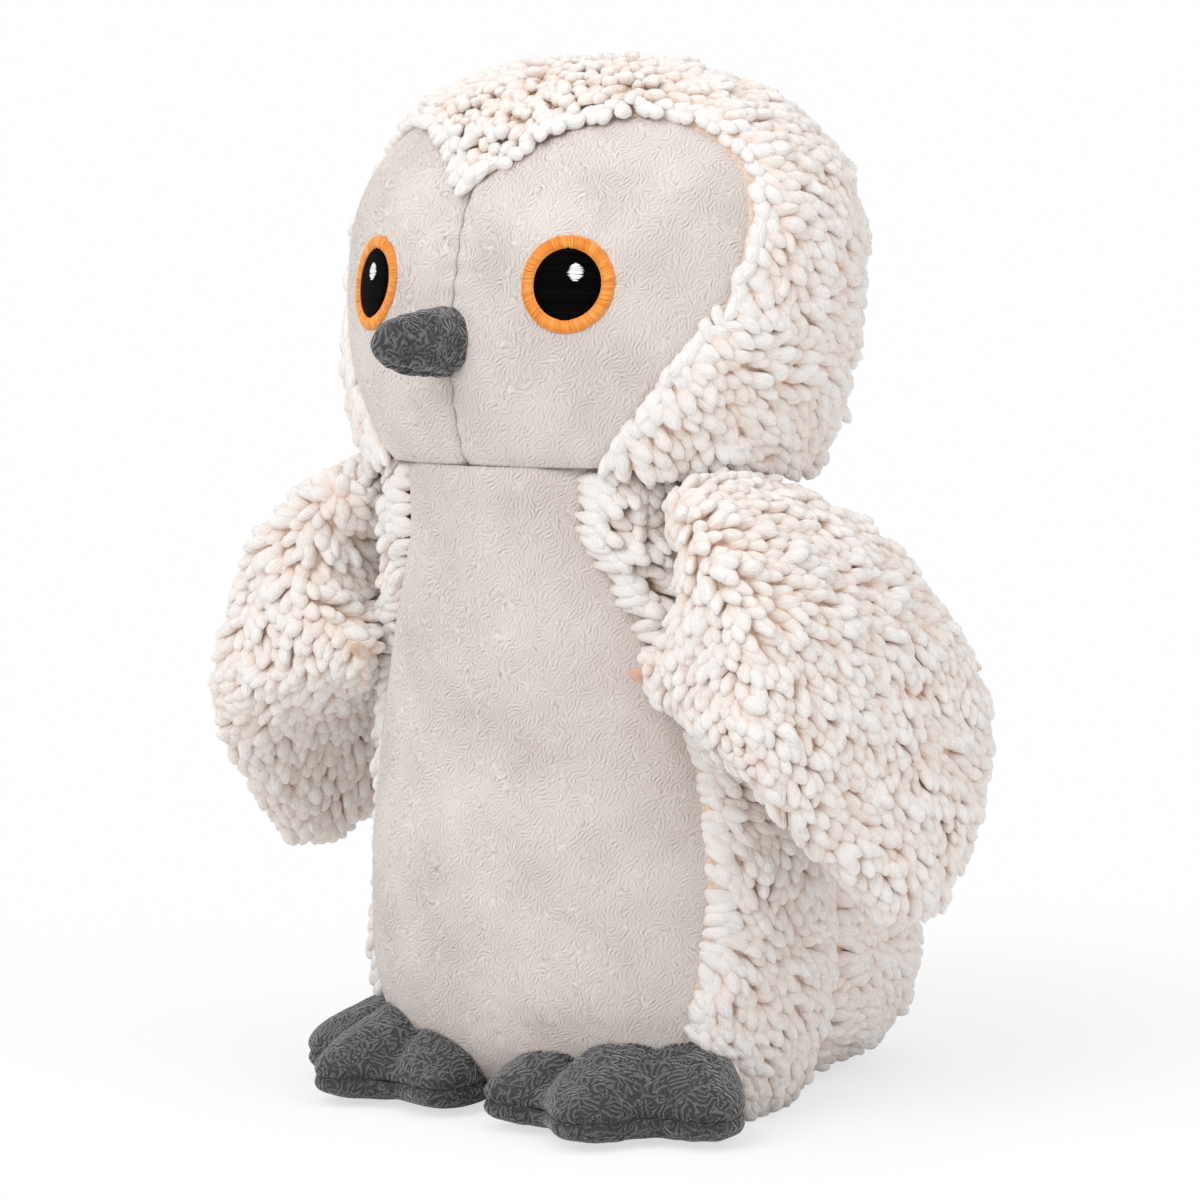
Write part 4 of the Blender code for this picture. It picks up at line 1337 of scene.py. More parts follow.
@dataclass(frozen=True)
class YarnPile:
    """Grains of thick soft yarn, combed one way like shingles, in tufts that draw in or open."""

    spacing: float = 2.9 * MM
    length: tuple[float, float] = (8.0 * MM, 10.5 * MM)
    radius: tuple[float, float] = (2.05 * MM, 2.75 * MM)
    crest: float = 7.6 * MM
    tuft: float = 12.0 * MM
    tuft_rise: float = 0.10
    pull: tuple[float, float] = (-0.55, 0.40)
    edge_stature: float = 0.68
    fibre_pitch: float = 0.50 * MM
    fibre_stretch: float = 7.0
    overhang: float = 3.0 * MM
    edge_offset: float = 0.9 * MM
    edge_step: float = 3.6 * MM
    edge_clear: float = 2.0 * MM
    rings: int = 8
    sides: int = 10
    lobe_depth: float = 0.11

    def nubs(self, roots: Array, normals: Array, flows: Array, seed: int,
             edge: tuple[Array, Array] | None = None, fullness: Array | float = 1.0) -> Mesh:
        """Builds the grains.

        Args:
            roots: where they leave the knit.
            normals: out of the cloth at each root.
            flows: the way that each is combed.
            seed: what starts the draw.
            edge: distance of each root from the cloth's edge, and the direction away from it.
            fullness: how much higher than usual each grain stands.

        Returns:
            The grains as one mesh, with each point's depth in the pile and each grain's tint.
        """
        draw = np.random.default_rng(seed)
        count = len(roots)
        turn = 0.50 * ripples(roots, 34 * MM, seed + 1) + draw.normal(0, 0.20, count)
        flows = unit(flows - (flows * normals).sum(-1, keepdims=True) * normals)
        across = np.cross(normals, flows)
        flows = flows * np.cos(turn)[:, None] + across * np.sin(turn)[:, None]
        toward, near = self.tufts(roots, seed + 2)
        flows = unit(flows + toward)
        flows = unit(flows - (flows * normals).sum(-1, keepdims=True) * normals)
        across = np.cross(normals, flows)
        length, radius = draw.uniform(*self.length, count), draw.uniform(*self.radius, count)
        stature, paler = np.broadcast_to(np.asarray(fullness, float), (count,)), np.zeros(count)
        if edge is not None:
            gap, away = edge
            stature = stature * (self.edge_stature + (1 - self.edge_stature) * rise(0.0, 9 * MM, gap))
            # Nubs near an edge are given a higher depth, so that they take less of the yarn's painted hollow shade
            paler = 0.45 * (1 - rise(2 * MM, 6 * MM, gap))
            away = away - (away * normals).sum(-1, keepdims=True) * normals
            away = away / np.maximum(np.linalg.norm(away, axis=-1, keepdims=True), TINY)
            lean = (flows * away).sum(-1)
            need = length * np.where(lean > 0, 0.40, 0.50) * np.abs(lean) + radius - self.overhang - gap
            roots = roots + away * np.clip(need, 0, 4 * MM)[:, None]
        t = (1 - np.cos(np.linspace(0, math.pi, self.rings + 2))) / 2
        climb = 1 - (1 - t) ** draw.uniform(1.2, 2.0, count)[:, None]
        height = self.crest * stature * (1 + self.tuft_rise * near + draw.normal(0, 0.07, count)) - radius * 0.6
        lift = height[:, None] * climb - 0.4 * MM
        bend = draw.normal(0, 0.7 * MM, count)[:, None] * np.sin(t * math.pi)
        ahead = length[:, None] * (t - 0.5)
        courses = (roots[:, None] + normals[:, None] * lift[..., None] + flows[:, None] * ahead[..., None]
                   + across[:, None] * bend[..., None])
        way = t[1:-1]
        ring = np.sin(way * math.pi) ** 0.45 * (0.55 + 0.45 * np.sin(np.minimum(way, 0.75) / 0.75 * math.pi / 2))
        swell = 1 + 0.08 * np.sin(math.tau * (way + draw.uniform(0, 1, (count, 1))))
        radii = radius[:, None] * ring * swell
        phase = draw.uniform(0, math.tau, (count, 1, 1)) + draw.normal(2.2, 0.8, (count, 1, 1)) * way[:, None]
        turns = np.arange(self.sides) * math.tau / self.sides
        lobes = 1 + self.lobe_depth * np.cos(3 * turns + phase)
        mesh = tubes(courses, across, radii, self.sides, 0.86, lobes)
        each = len(mesh.points) // count
        base, out = np.repeat(roots, each, axis=0), np.repeat(normals, each, axis=0)
        local = mesh.points - base
        frame_axes = (flows / self.fibre_stretch, across, normals)
        grain = np.stack([(local * np.repeat(axis, each, axis=0)).sum(-1) for axis in frame_axes], axis=1)
        grain = grain / self.fibre_pitch + np.repeat(draw.uniform(0, 90, (count, 3)), each, axis=0)
        tall = np.repeat(self.crest * stature, each)
        # depth picks the yarn's colour: painted shade low in the pile, painted highlight at the crest; its floor of
        # 0.18 caps the darkest painted shade
        mesh.values = {"depth": np.clip((local * out).sum(-1) / tall + np.repeat(paler, each), 0.18, 1),
                       "tint": np.repeat(draw.uniform(0, 1, count), each), "grain": grain}
        mesh.points[:, 2] = np.maximum(mesh.points[:, 2], FLOOR_CLEARANCE)
        return mesh

    def along_edge(self, form: "HeadForm | BodyForm", outline: Array, turn: int) -> tuple[Array, Array, Array]:
        """A row of places beside an outline on a form's front.

        Args:
            form: the form, which has a front.
            outline: the cloth's edge in X and Z.
            turn: 1 where the fleece lies left of the outline's course, -1 where it lies right.

        Returns:
            The places, the directions out of the cloth, and those along the edge.
        """
        flat = even_steps(outline, self.edge_step)
        ways = unit(np.gradient(flat, axis=0))
        away = turn * np.stack([-ways[:, 1], ways[:, 0]], axis=1)
        step = 0.2 * MM

        def difference(shift: Array) -> Array:
            """How the front changes with a small shift either way."""
            ahead, behind = flat + shift, flat - shift
            return form.front_place(*ahead.T, 0.0) - form.front_place(*behind.T, 0.0)

        for offset in (0.0, self.edge_offset):
            normals = unit(np.cross(difference(np.array([step, 0.0])), difference(np.array([0.0, step]))))
            seen = foreshortening(normals, np.stack([away[:, 0], np.zeros(len(away)), away[:, 1]], axis=1))
            flat = flat + away * (offset * seen)[:, None]
        return form.front_place(*flat.T, 0.0), normals, unit(difference(ways * step))

    def tufts(self, roots: Array, seed: int) -> tuple[Array, Array]:
        """Groups the nubs in tufts.

        Args:
            roots: where the nubs leave the knit.
            seed: what starts the draw.

        Returns:
            The pull into or out of each nub's tuft, and how near its middle the nub is, from 1 to -1.
        """
        order = np.random.default_rng(seed).permutation(len(roots))
        tree = KDTree(len(roots))
        for index, root in enumerate(roots):
            tree.insert(root, index)
        tree.balance()
        free = np.ones(len(roots), bool)
        middles = []
        for index in order:
            if free[index]:
                middles.append(roots[index])
                free[[near[1] for near in tree.find_range(roots[index], self.tuft)]] = False
        middles = np.array(middles)
        away = np.linalg.norm(roots[:, None] - middles[None], axis=-1)
        nearest = away.argmin(axis=1)
        gap = away[np.arange(len(roots)), nearest] / (self.tuft * 0.6)
        pulls = np.random.default_rng(seed + 1).uniform(*self.pull, len(middles))[nearest]
        toward = (middles[nearest] - roots) / (self.tuft * 0.6) * pulls[:, None]
        return toward, np.clip(1 - 2 * gap**2, -1, 1)


def combed(normals: Array, *pulls: tuple[Array | float, tuple[float, float, float]]) -> Array:
    """A combing direction in the cloth: the sum of weighted directions, laid along the surface.

    Args:
        normals: directions out of the surface.
        pulls: weights and directions.

    Returns:
        Unit directions, one for each place.
    """
    total = sum(np.asarray(weight)[..., None] * np.array(way) for weight, way in pulls)
    total = np.broadcast_to(total, normals.shape)
    return unit(total - (total * normals).sum(-1, keepdims=True) * normals)


def foreshortening(normals: Array, away: Array) -> Array:
    """How much shorter a step along the surface looks in the plane that holds the direction away."""
    return np.sqrt(np.maximum(1 - (normals * away).sum(-1) ** 2, 0.01))


def outline_edge(roots: Array, normals: Array, outline: Array) -> tuple[Array, Array]:
    """How far roots lie outside an outline drawn in X and Z.

    Args:
        roots: places on the form's front.
        normals: the directions out of the form there.
        outline: the outline.

    Returns:
        The distance along the surface, and the direction away from the outline in space.
    """
    gap, away = outline_gap(roots[:, [0, 2]], outline)
    away = np.stack([away[:, 0], np.zeros(len(roots)), away[:, 1]], axis=1)
    return np.where(roots[:, 1] < 0, gap / foreshortening(normals, away), 1.0), away


def no_edge(points: Array, normals: Array) -> Array:
    """The room beside a cloth that has no edge near."""
    return np.ones(len(points))


def backing(form: Form, columns: int, rows: int, room: Callable[[Array, Array], Array] = no_edge) -> Mesh:
    """The knit under the pile: a thin closed cloth, lower towards its edge.

    Args:
        form: the form that it covers.
        columns: points round it.
        rows: points along it.
        room: distance of points from the cloth's edge, negative beyond it, from the points and normals.

    Returns:
        The cloth.
    """
    u, v = form.shares(columns, rows)
    gap = room(form.under_crest(u, v, KNIT_LEVEL), form.normals(u, v, FLEECE))
    level = KNIT_LEVEL * (0.1 + 0.9 * rise(2 * MM, 11 * MM, gap))
    outer, inner = form.under_crest(u, v, level), form.under_crest(u, v, level - CLOTH)
    kept = gap > 1.5 * MM
    quads, triangles = ball_faces(rows, columns)
    quads, triangles = quads[kept[quads].all(axis=1)], triangles[kept[triangles].all(axis=1)]
    clamp = np.array([-np.inf, -np.inf, FLOOR_CLEARANCE])
    return thickened(np.maximum(outer, clamp), np.maximum(inner, clamp), quads, triangles)


def filling(form: Form, columns: int, rows: int, low: float, high: float, seed: int) -> Mesh:
    """A lump of loose fibre a little smaller than its cover, cut level at the seams.

    Args:
        form: its cover's form.
        columns: points round it.
        rows: points along it.
        low: the lowest height.
        high: the highest height.
        seed: what starts the draw.

    Returns:
        The lump.
    """
    points, quads, triangles = form.ball(columns, rows, -FILLING_SLACK)
    middle = points.mean(axis=0)
    sunk = 0.5 * MM * (1 + ripples(points, 17 * MM, seed))
    points = points - unit(points - middle) * np.clip(sunk, 0, 1.5 * MM)[:, None]
    points[:, 2] = np.clip(points[:, 2], low, high)
    return Mesh(points, quads, triangles)


# Sub-assemblies

@dataclass
class Head:
    """The head: a fleece hood, two velour face panels and the filling."""

    form: HeadForm
    outline: FaceOutline
    pile: YarnPile
    finishes: Finishes
    seam_dip: float = 1.1 * MM
    seam_width: float = 1.3 * MM
    edge_dip: float = 1.6 * MM
    tuck: float = 3.0 * MM
    seam_gap: float = 0.05 * MM
    spacing: float = 0.95 * MM
    rings: int = 54

    def build(self) -> None:
        """Builds every piece of the head."""
        self.build_hood()
        for side in Side:
            self.build_face(side)
        lump = filling(self.form, 96, 64, NECK_HEIGHT + 2 * GAP, 1.0, 11)
        fit(lump.piece("head_filling", self.finishes.fibre), "body", "polyester_filling", "head_stuffing")

    def build_hood(self) -> None:
        """The hood's knit and its pile, combed down in front and back over the cheeks."""
        closed = self.outline.whole()

        def room(points: Array, normals: Array) -> Array:
            """Distance of points from the face, negative below the neck."""
            gap, _ = outline_edge(points, normals, closed)
            return np.where(points[:, 2] > NECK_HEIGHT - MM, gap, -1.0)

        def hooded(points: Array, normals: Array) -> Array:
            """Whether places are on the hood, clear of the row along its edge."""
            return (room(points, normals) > self.pile.edge_clear) & (points[:, 2] > NECK_HEIGHT + MM)

        knit = backing(self.form, 168, 116, room)
        fit(knit.piece("hood_backing", self.finishes.knit), "body", "curly_fleece")
        roots, normals = self.form.scatter(self.pile.spacing, 21, hooded)
        beside = np.abs(normals[:, 0]) ** 1.3
        flows = combed(normals, (0.6, (0, 0, -1)), (1.3 * beside, (0, 1, 0)), (0.05, (0, -1, 0)))
        row, row_normals, along = self.pile.along_edge(self.form, self.outline.half(), 1)
        row, row_normals, along = (part[row[:, 2] > NECK_HEIGHT + 2 * MM] for part in (row, row_normals, along))
        row_flows = combed(row_normals, (0.5, (0, 0, -1))) + 0.8 * along
        for side in Side:
            mine = roots[:, 0] * side.value > 0
            gap, away = outline_edge(roots[mine], normals[mine], closed)
            gap = np.concatenate([gap, np.zeros(len(row))])
            away = np.concatenate([away, np.zeros((len(row), 3))])
            nubs = self.pile.nubs(np.concatenate([roots[mine], row * side.flip]),
                                  np.concatenate([normals[mine], row_normals * side.flip]),
                                  np.concatenate([flows[mine], row_flows * side.flip]), 30 + side.value, (gap, away))
            piece = nubs.piece(f"hood_fleece_{side.word}", self.finishes.yarn)
            fit(piece, "body", "curly_fleece", f"hood_{side.word}", fill=0.85)

    def build_face(self, side: Side) -> None:
        """One velour panel, drawn in at the middle seam and the neck and tucked under the fleece.

        Args:
            side: the side that it is for.
        """
        half = self.outline.half()
        course = even_steps(half, 2 * MM)
        ways = np.gradient(course, axis=0)
        outward = unit(np.stack([ways[:, 1], -ways[:, 0]], axis=1)) * -1
        course = course + outward * self.tuck * rise(0.0, 4 * MM, course[:, :1])
        low = NECK_HEIGHT + self.seam_gap
        course = course[course[:, 1] > low]
        corner = np.array([[course[-1, 0], low], [GAP / 2, low]])
        edge = even_steps(np.concatenate([course, corner, [[GAP / 2, course[0, 1]]]]), self.spacing)[:-1]
        edge[:, 0] = np.maximum(edge[:, 0], GAP / 2)
        centre = np.array([0.43 * self.outline.half_width, NECK_HEIGHT + 0.48 * self.outline.height])
        flat, quads, triangles = disc(edge[::-1], centre, self.rings)
        outer = self.surface(flat)
        inner = self.form.front_place(flat[:, 0], flat[:, 1], 0.0)
        inner = np.where(outer[:, 1:2] > inner[:, 1:2] - VELOUR_BACKING, outer + [0, VELOUR_BACKING, 0], inner)
        panel = thickened(outer, inner, quads, triangles).mirrored(side)
        piece = panel.piece(f"face_velour_{side.word}", self.finishes.velour)
        fit(piece, "body", "velour", f"face_{side.word}", fill=0.85)

    def surface(self, flat: Array) -> Array:
        """The face's surface over points in X and Z.

        Args:
            flat: places in X and Z.

        Returns:
            The points.
        """
        across, height = flat[:, 0], flat[:, 1]
        gap, _ = outline_gap(flat, self.outline.whole())
        place = self.form.front_place(across, height, VELOUR)
        dip = self.seam_dip * bell(across, self.seam_width)
        pucker = 0.35 * MM * np.sin(height / (6.5 * MM) * math.tau) * bell(across, 5 * MM)
        neck = 0.9 * MM * bell(height - NECK_HEIGHT, 2.0 * MM)
        tucked = self.edge_dip * rise(-1.2 * MM, 1.8 * MM, gap)
        soft = 0.35 * MM * ripples(place, 42 * MM, 41) + 0.10 * MM * ripples(place, 4.2 * MM, 42)
        place[:, 1] += dip + pucker + neck + tucked - soft
        return place


@dataclass
class Eye:
    """One embroidered eye: a satin ring round a stitched pupil with a small light in it."""

    side: Side
    head: Head
    out: float = 34.2 * MM
    height: float = 232.4 * MM
    turn_degrees: float = 21.0
    ring_radius: float = 13.2 * MM
    ring_width: float = 3.7 * MM
    thread: float = 0.42 * MM
    light_radius: float = 2.3 * MM
    light_rise: float = 3.2 * MM

    def surface(self, flat: Array, level: float | Array) -> Array:
        """Points on the face at places in the eye's own plane, lifted by a level.

        Args:
            flat: places in X and Z.
            level: height over the velour.

        Returns:
            The points.
        """
        turn = math.radians(self.turn_degrees)
        outward = np.array([math.sin(turn), -math.cos(turn), 0.0])
        across = np.array([math.cos(turn), math.sin(turn), 0.0])
        form = self.head.form
        depth = form.front * math.sqrt(1 - (self.out / form.half_width) ** 2)
        centre = np.array([self.out, form.centre[1] - depth, self.height])
        line = centre + flat[:, :1] * across + flat[:, 1:] * np.array([0.0, 0.0, 1.0])
        reach = np.zeros(len(flat))
        for _ in range(8):
            point = line + reach[:, None] * outward
            wanted = form.front_place(point[:, 0], point[:, 2], VELOUR)[:, 1]
            reach += (wanted - point[:, 1]) / outward[1] * 0.8
        point = line + reach[:, None] * outward
        soft = 0.35 * MM * ripples(point, 42 * MM, 41)
        point[:, 1] -= soft
        return point + outward * np.broadcast_to(level, len(flat))[:, None]

    def threads(self, starts: Array, ends: Array, level: float, puff: float, radius: float, seed: int) -> Mesh:
        """Stitches from starts to ends in the eye's plane, each a low arch of thread.

        Args:
            starts: where they go in.
            ends: where they come out.
            level: height over the velour.
            puff: how much higher their middles stand.
            radius: half their width, or the patch's radius.
            seed: what starts the draw.

        Returns:
            The stitches.
        """
        count, steps = len(starts), 9
        t = np.linspace(0, 1, steps)
        flat = starts[:, None] + (ends - starts)[:, None] * t[None, :, None]
        rise_up = level + puff * np.sin(t * math.pi) ** 0.6
        courses = self.surface(flat.reshape(-1, 2), np.tile(rise_up, count)).reshape(count, steps, 3)
        ways = unit(courses[:, -1] - courses[:, 0])
        turn = math.radians(self.turn_degrees)
        outward = np.array([math.sin(turn), -math.cos(turn), 0.0])
        across = np.cross(outward, ways)
        ring = np.sin(np.linspace(0, math.pi, steps)[1:-1]) ** 0.35
        mesh = tubes(courses, across, radius * np.tile(ring, (count, 1)), 6, 0.9)
        tint = np.random.default_rng(seed).uniform(0, 1, count)
        mesh.values = {"tint": np.repeat(tint, len(mesh.points) // count)}
        return mesh

    def pad(self, inner: float, outer: float, level: float, thick: float) -> Mesh:
        """The stitches' underlay: a thin ring or disc on the face.

        Args:
            inner: inner radius.
            outer: outer radius.
            level: height over the velour.
            thick: thickness.

        Returns:
            The underlay.
        """
        columns, rows = 96, 8
        radii = np.linspace(inner, outer, rows)
        r, a = np.meshgrid(radii, np.arange(columns) * math.tau / columns, indexing="ij")
        flat = np.stack([(r * np.cos(a)).ravel(), (r * np.sin(a)).ravel()], axis=1)
        quads = np.roll(band_faces(rows, columns)[:, ::-1], 1, axis=1)
        values = {"tint": np.full(len(flat), 0.2)}
        return thickened(self.surface(flat, level + thick), self.surface(flat, level), quads, NO_TRIANGLES, values)

    def build(self) -> None:
        """Stitches the ring, the pupil and the light."""
        finishes, word = self.head.finishes, self.side.word
        draw = np.random.default_rng(50 + self.side.value)
        middle = self.ring_radius - self.ring_width / 2
        count = round(math.tau * middle / (0.98 * self.thread))
        angle = np.arange(count) * math.tau / count + draw.normal(0, 0.004, count)
        slant = 0.05
        inner = self.ring_radius - self.ring_width - draw.uniform(-0.15, 0.35, count) * MM
        outer = self.ring_radius + draw.uniform(-0.25, 0.25, count) * MM
        starts = inner[:, None] * np.stack([np.cos(angle), np.sin(angle)], axis=1)
        ends = outer[:, None] * np.stack([np.cos(angle + slant), np.sin(angle + slant)], axis=1)
        ring = Mesh.joined([self.pad(self.ring_radius - self.ring_width, self.ring_radius - 0.2 * MM, -0.2 * MM,
                                     0.7 * MM),
                            self.threads(starts, ends, -0.1 * MM, 1.0 * MM, self.thread * 0.62, 60)])
        piece = ring.mirrored(self.side).piece(f"eye_ring_satin_{word}", finishes.orange)
        fit(piece, "body", "orange_thread", f"eye_ring_{word}")
        inside = self.ring_radius - self.ring_width + 0.1 * MM
        pupil = Mesh.joined([self.pad(0.05 * MM, inside, -0.2 * MM, 0.5 * MM),
                             self.rows(0.0, 0.0, inside, 0.38 * MM, 0.35 * MM, 0.0, 62)])
        piece = pupil.mirrored(self.side).piece(f"eye_pupil_satin_{word}", finishes.black)
        fit(piece, "body", "black_thread", f"eye_pupil_{word}")
        shift = 2.4 * MM if self.side is Side.LEFT else 0.0
        light = self.rows(shift, self.light_rise, self.light_radius, 0.34 * MM, 0.75 * MM, 0.12, 64)
        piece = light.mirrored(self.side).piece(f"eye_highlight_satin_{word}", finishes.white)
        fit(piece, "body", "white_thread", f"eye_highlight_{word}")

    def rows(self, across: float, up: float, radius: float, pitch: float, level: float, ragged: float,
             seed: int) -> Mesh:
        """Side-by-side stitches that fill a round patch, ragged at its edge.

        Args:
            across: X, or the width's direction.
            up: the patch's middle, up.
            radius: the patch's radius.
            pitch: from one stitch to the next.
            level: height over the velour.
            ragged: how uneven its edge is.
            seed: what starts the draw.

        Returns:
            The stitches.
        """
        draw = np.random.default_rng(seed)
        places = np.arange(-radius + pitch / 2, radius, pitch)
        half = np.sqrt(np.maximum(radius**2 - places**2, (0.5 * MM) ** 2))
        ends = half * (1 + draw.uniform(-ragged, ragged, (2, len(places))))
        starts = np.stack([across - ends[0], up + places], axis=1)
        finish = np.stack([across + ends[1], up + places + draw.normal(0, 0.08 * MM, len(places))], axis=1)
        return self.threads(starts, finish, level, 0.2 * MM, pitch * 0.62, seed)


@dataclass
class Beak:
    """The beak: a small minky cone, sewn shut underneath, over its filling."""

    form: BeakForm
    finishes: Finishes
    swirl: float = 5.5 * MM
    swirl_depth: float = 0.30 * MM

    def build(self) -> None:
        """The cover with its swirls and its seam, and the filling."""
        columns, rows = 150, 150
        points, quads, triangles = self.form.ball(columns, rows, MINKY)
        u, v = np.tile(np.arange(columns) / columns, rows), np.repeat((np.arange(rows) + 0.5) / rows, columns)
        normals = np.concatenate([self.form.normals(u, v, MINKY), [[0, 1, 0], [0, -1, 0]]])
        crest = np.clip(ripples(points, self.swirl, 71), -1, 1)
        under = points - self.form.at(np.zeros(1), np.full(1, 0.5), 0.0)
        seam = bell(points[:, 0] - 1.5 * MM, 1.1 * MM) * rise(-3 * MM, -7 * MM, under[:, 2])
        points = points + normals * (self.swirl_depth * crest - 1.2 * MM * seam)[:, None]
        # crest carries a painted highlight on the raised swirls and painted shade along the sunk seam
        mesh = Mesh(points, quads, triangles, {"crest": np.clip(0.35 + 0.15 * crest - 0.35 * seam, 0, 1)})
        piece = mesh.piece("beak_minky", self.finishes.minky)
        fit(piece, "body", "grey_minky", "beak_cover", fill=0.8)
        lump = filling(self.form, 40, 30, 0.0, 1.0, 72)
        fit(lump.piece("beak_filling", self.finishes.fibre), "body", "polyester_filling", "beak_stuffing")


@dataclass
class Body:
    """The body: fleece sides, a velour belly, a woven base, the bag of pellets and the filling."""

    form: BodyForm
    outline: BellyOutline
    pile: YarnPile
    finishes: Finishes
    spacing: float = 1.0 * MM
    rings: int = 76
    tuck: float = 3.0 * MM
    edge_dip: float = 1.4 * MM
    seam_gap: float = 0.05 * MM
    bag_top: float = 30 * MM
    base_thickness: float = 2 * MM

    def build(self) -> None:
        """Builds every piece of the body."""
        self.build_sides()
        self.build_belly()
        self.build_inside()

    def build_sides(self) -> None:
        """The sides' knit and pile, combed down and away from the belly."""
        closed = self.outline.whole()

        def room(points: Array, normals: Array) -> Array:
            """Distance of points from the belly."""
            return outline_edge(points, normals, closed)[0]

        def flank(points: Array, normals: Array) -> Array:
            """Whether places are beside or behind the belly, clear of the row along its edge."""
            return (room(points, normals) > self.pile.edge_clear) & (points[:, 2] > MM)

        knit = backing(self.form, 150, 90, room)
        fit(knit.piece("body_backing", self.finishes.knit), "body", "curly_fleece")
        roots, normals = self.form.scatter(self.pile.spacing, 22, flank)
        flows = combed(normals, (1.0, (0, 0, -1)), (0.35, (0, 1, 0)))
        row, row_normals, along = self.pile.along_edge(self.form, self.outline.half(), -1)
        inside = (row[:, 2] > 2 * MM) & (row[:, 2] < NECK_HEIGHT - 2 * MM)
        row, row_normals, along = (part[inside] for part in (row, row_normals, along))
        row_flows = combed(row_normals, (0.3, (0, 1, 0))) - 0.9 * along
        for side in Side:
            mine = roots[:, 0] * side.value > 0
            gap, away = outline_edge(roots[mine], normals[mine], closed)
            gap = np.concatenate([gap, np.zeros(len(row))])
            away = np.concatenate([away, np.zeros((len(row), 3))])
            places = np.concatenate([roots[mine], row * side.flip])
            shoulder = rise(0.50 * NECK_HEIGHT, 0.70 * NECK_HEIGHT, places[:, 2]) * (places[:, 1] < 0)
            nubs = self.pile.nubs(places, np.concatenate([normals[mine], row_normals * side.flip]),
                                  np.concatenate([flows[mine], row_flows * side.flip]), 35 + side.value, (gap, away),
                                  1 + 0.55 * shoulder)
            piece = nubs.piece(f"body_fleece_{side.word}", self.finishes.yarn)
            fit(piece, "body", "curly_fleece", f"body_side_{side.word}", fill=0.85)

    def build_belly(self) -> None:
        """The velour belly, drawn in at the neck and the floor and tucked under the fleece."""
        half = even_steps(self.outline.half(), 2 * MM)
        ways = unit(np.gradient(half, axis=0))
        half = half + np.stack([ways[:, 1], -ways[:, 0]], axis=1) * self.tuck
        low, high = 2 * GAP, NECK_HEIGHT - self.seam_gap
        half = half[(half[:, 1] > low) & (half[:, 1] < high)]
        right = np.concatenate([[[0.0, low], [half[0, 0], low]], half, [[half[-1, 0], high], [0.0, high]]])
        left = right[::-1] * [-1, 1]
        edge = even_steps(np.concatenate([right, left[1:]]), self.spacing)[:-1]
        flat, quads, triangles = disc(edge, np.array([0.0, NECK_HEIGHT / 2]), self.rings)
        outer = self.surface(flat)
        inner = self.form.front_place(flat[:, 0], flat[:, 1], 0.0)
        inner = np.where(outer[:, 1:2] > inner[:, 1:2] - VELOUR_BACKING, outer + [0, VELOUR_BACKING, 0], inner)
        piece = thickened(outer, inner, quads, triangles).piece("belly_velour", self.finishes.velour)
        fit(piece, "body", "velour", "belly_panel", fill=0.85)

    def surface(self, flat: Array) -> Array:
        """The belly's surface over points in X and Z.

        Args:
            flat: places in X and Z.

        Returns:
            The points.
        """
        across, height = flat[:, 0], flat[:, 1]
        gap, _ = outline_gap(flat, self.outline.whole())
        place = self.form.front_place(across, height, VELOUR)
        neck = 1.1 * MM * bell(height - NECK_HEIGHT, 2.2 * MM)
        foot = 2.2 * MM * bell(height, 3.5 * MM)
        tucked = self.edge_dip * rise(-1.2 * MM, 1.8 * MM, gap)
        soft = 0.5 * MM * ripples(place, 55 * MM, 43) + 0.10 * MM * ripples(place, 4.2 * MM, 44)
        place[:, 1] += neck + foot + tucked - soft
        return place

    def build_inside(self) -> None:
        """The base cloth, the pellet bag and the filling, one above the other."""
        layers = (("base_cloth", "base_panel", "woven_lining", self.finishes.cotton, 0.0, self.base_thickness, 0.0),
                  ("pellet_bag_cloth", "pellet_bag", "woven_lining", self.finishes.cotton,
                   self.base_thickness + GAP, self.bag_top, 1.2 * MM),
                  ("body_filling", "body_stuffing", "polyester_filling", self.finishes.fibre,
                   self.bag_top + GAP, NECK_HEIGHT - GAP, 0.8 * MM))
        for name, node, slot, finish, low, high, lumps in layers:
            mesh = self.layer(low, high, lumps)
            fill = 0.8 if node == "pellet_bag" else None
            fit(mesh.piece(name, finish), "body", slot, node, fill=fill)

    def layer(self, low: float, high: float, lumps: float) -> Mesh:
        """A closed block of the body between two heights, sunk in lumps.

        Args:
            low: the lower height.
            high: the upper height.
            lumps: how deep they are.

        Returns:
            The block.
        """
        columns, walls, caps = 110, 24, 14
        angle = np.arange(columns) / columns * math.tau
        heights = np.concatenate([np.full(caps, low), np.linspace(low, high, walls), np.full(caps, high)])
        shares = np.concatenate([np.arange(1, caps + 1) / (caps + 1), np.ones(walls),
                                 1 - np.arange(1, caps + 1) / (caps + 1)])
        h, a = np.meshgrid(heights, angle, indexing="ij")
        reach = self.form.reach(np.cos(a), np.sin(a), h, -0.6 * MM) * shares[:, None]
        points = np.stack([np.cos(a) * reach, np.sin(a) * reach, h], axis=-1).reshape(-1, 3)
        points = np.concatenate([points, [[0, 0, low], [0, 0, high]]])
        sunk = np.clip(lumps * (1 + ripples(points, 14 * MM, 73)) / 2, 0, 2 * lumps + TINY)
        points[:, :2] -= unit(points[:, :2]) * sunk[:, None] * np.minimum(1, points[:, :1] ** 2 * 1e6)
        quads, triangles = ball_faces(len(heights), columns)
        return Mesh(points, quads, triangles)


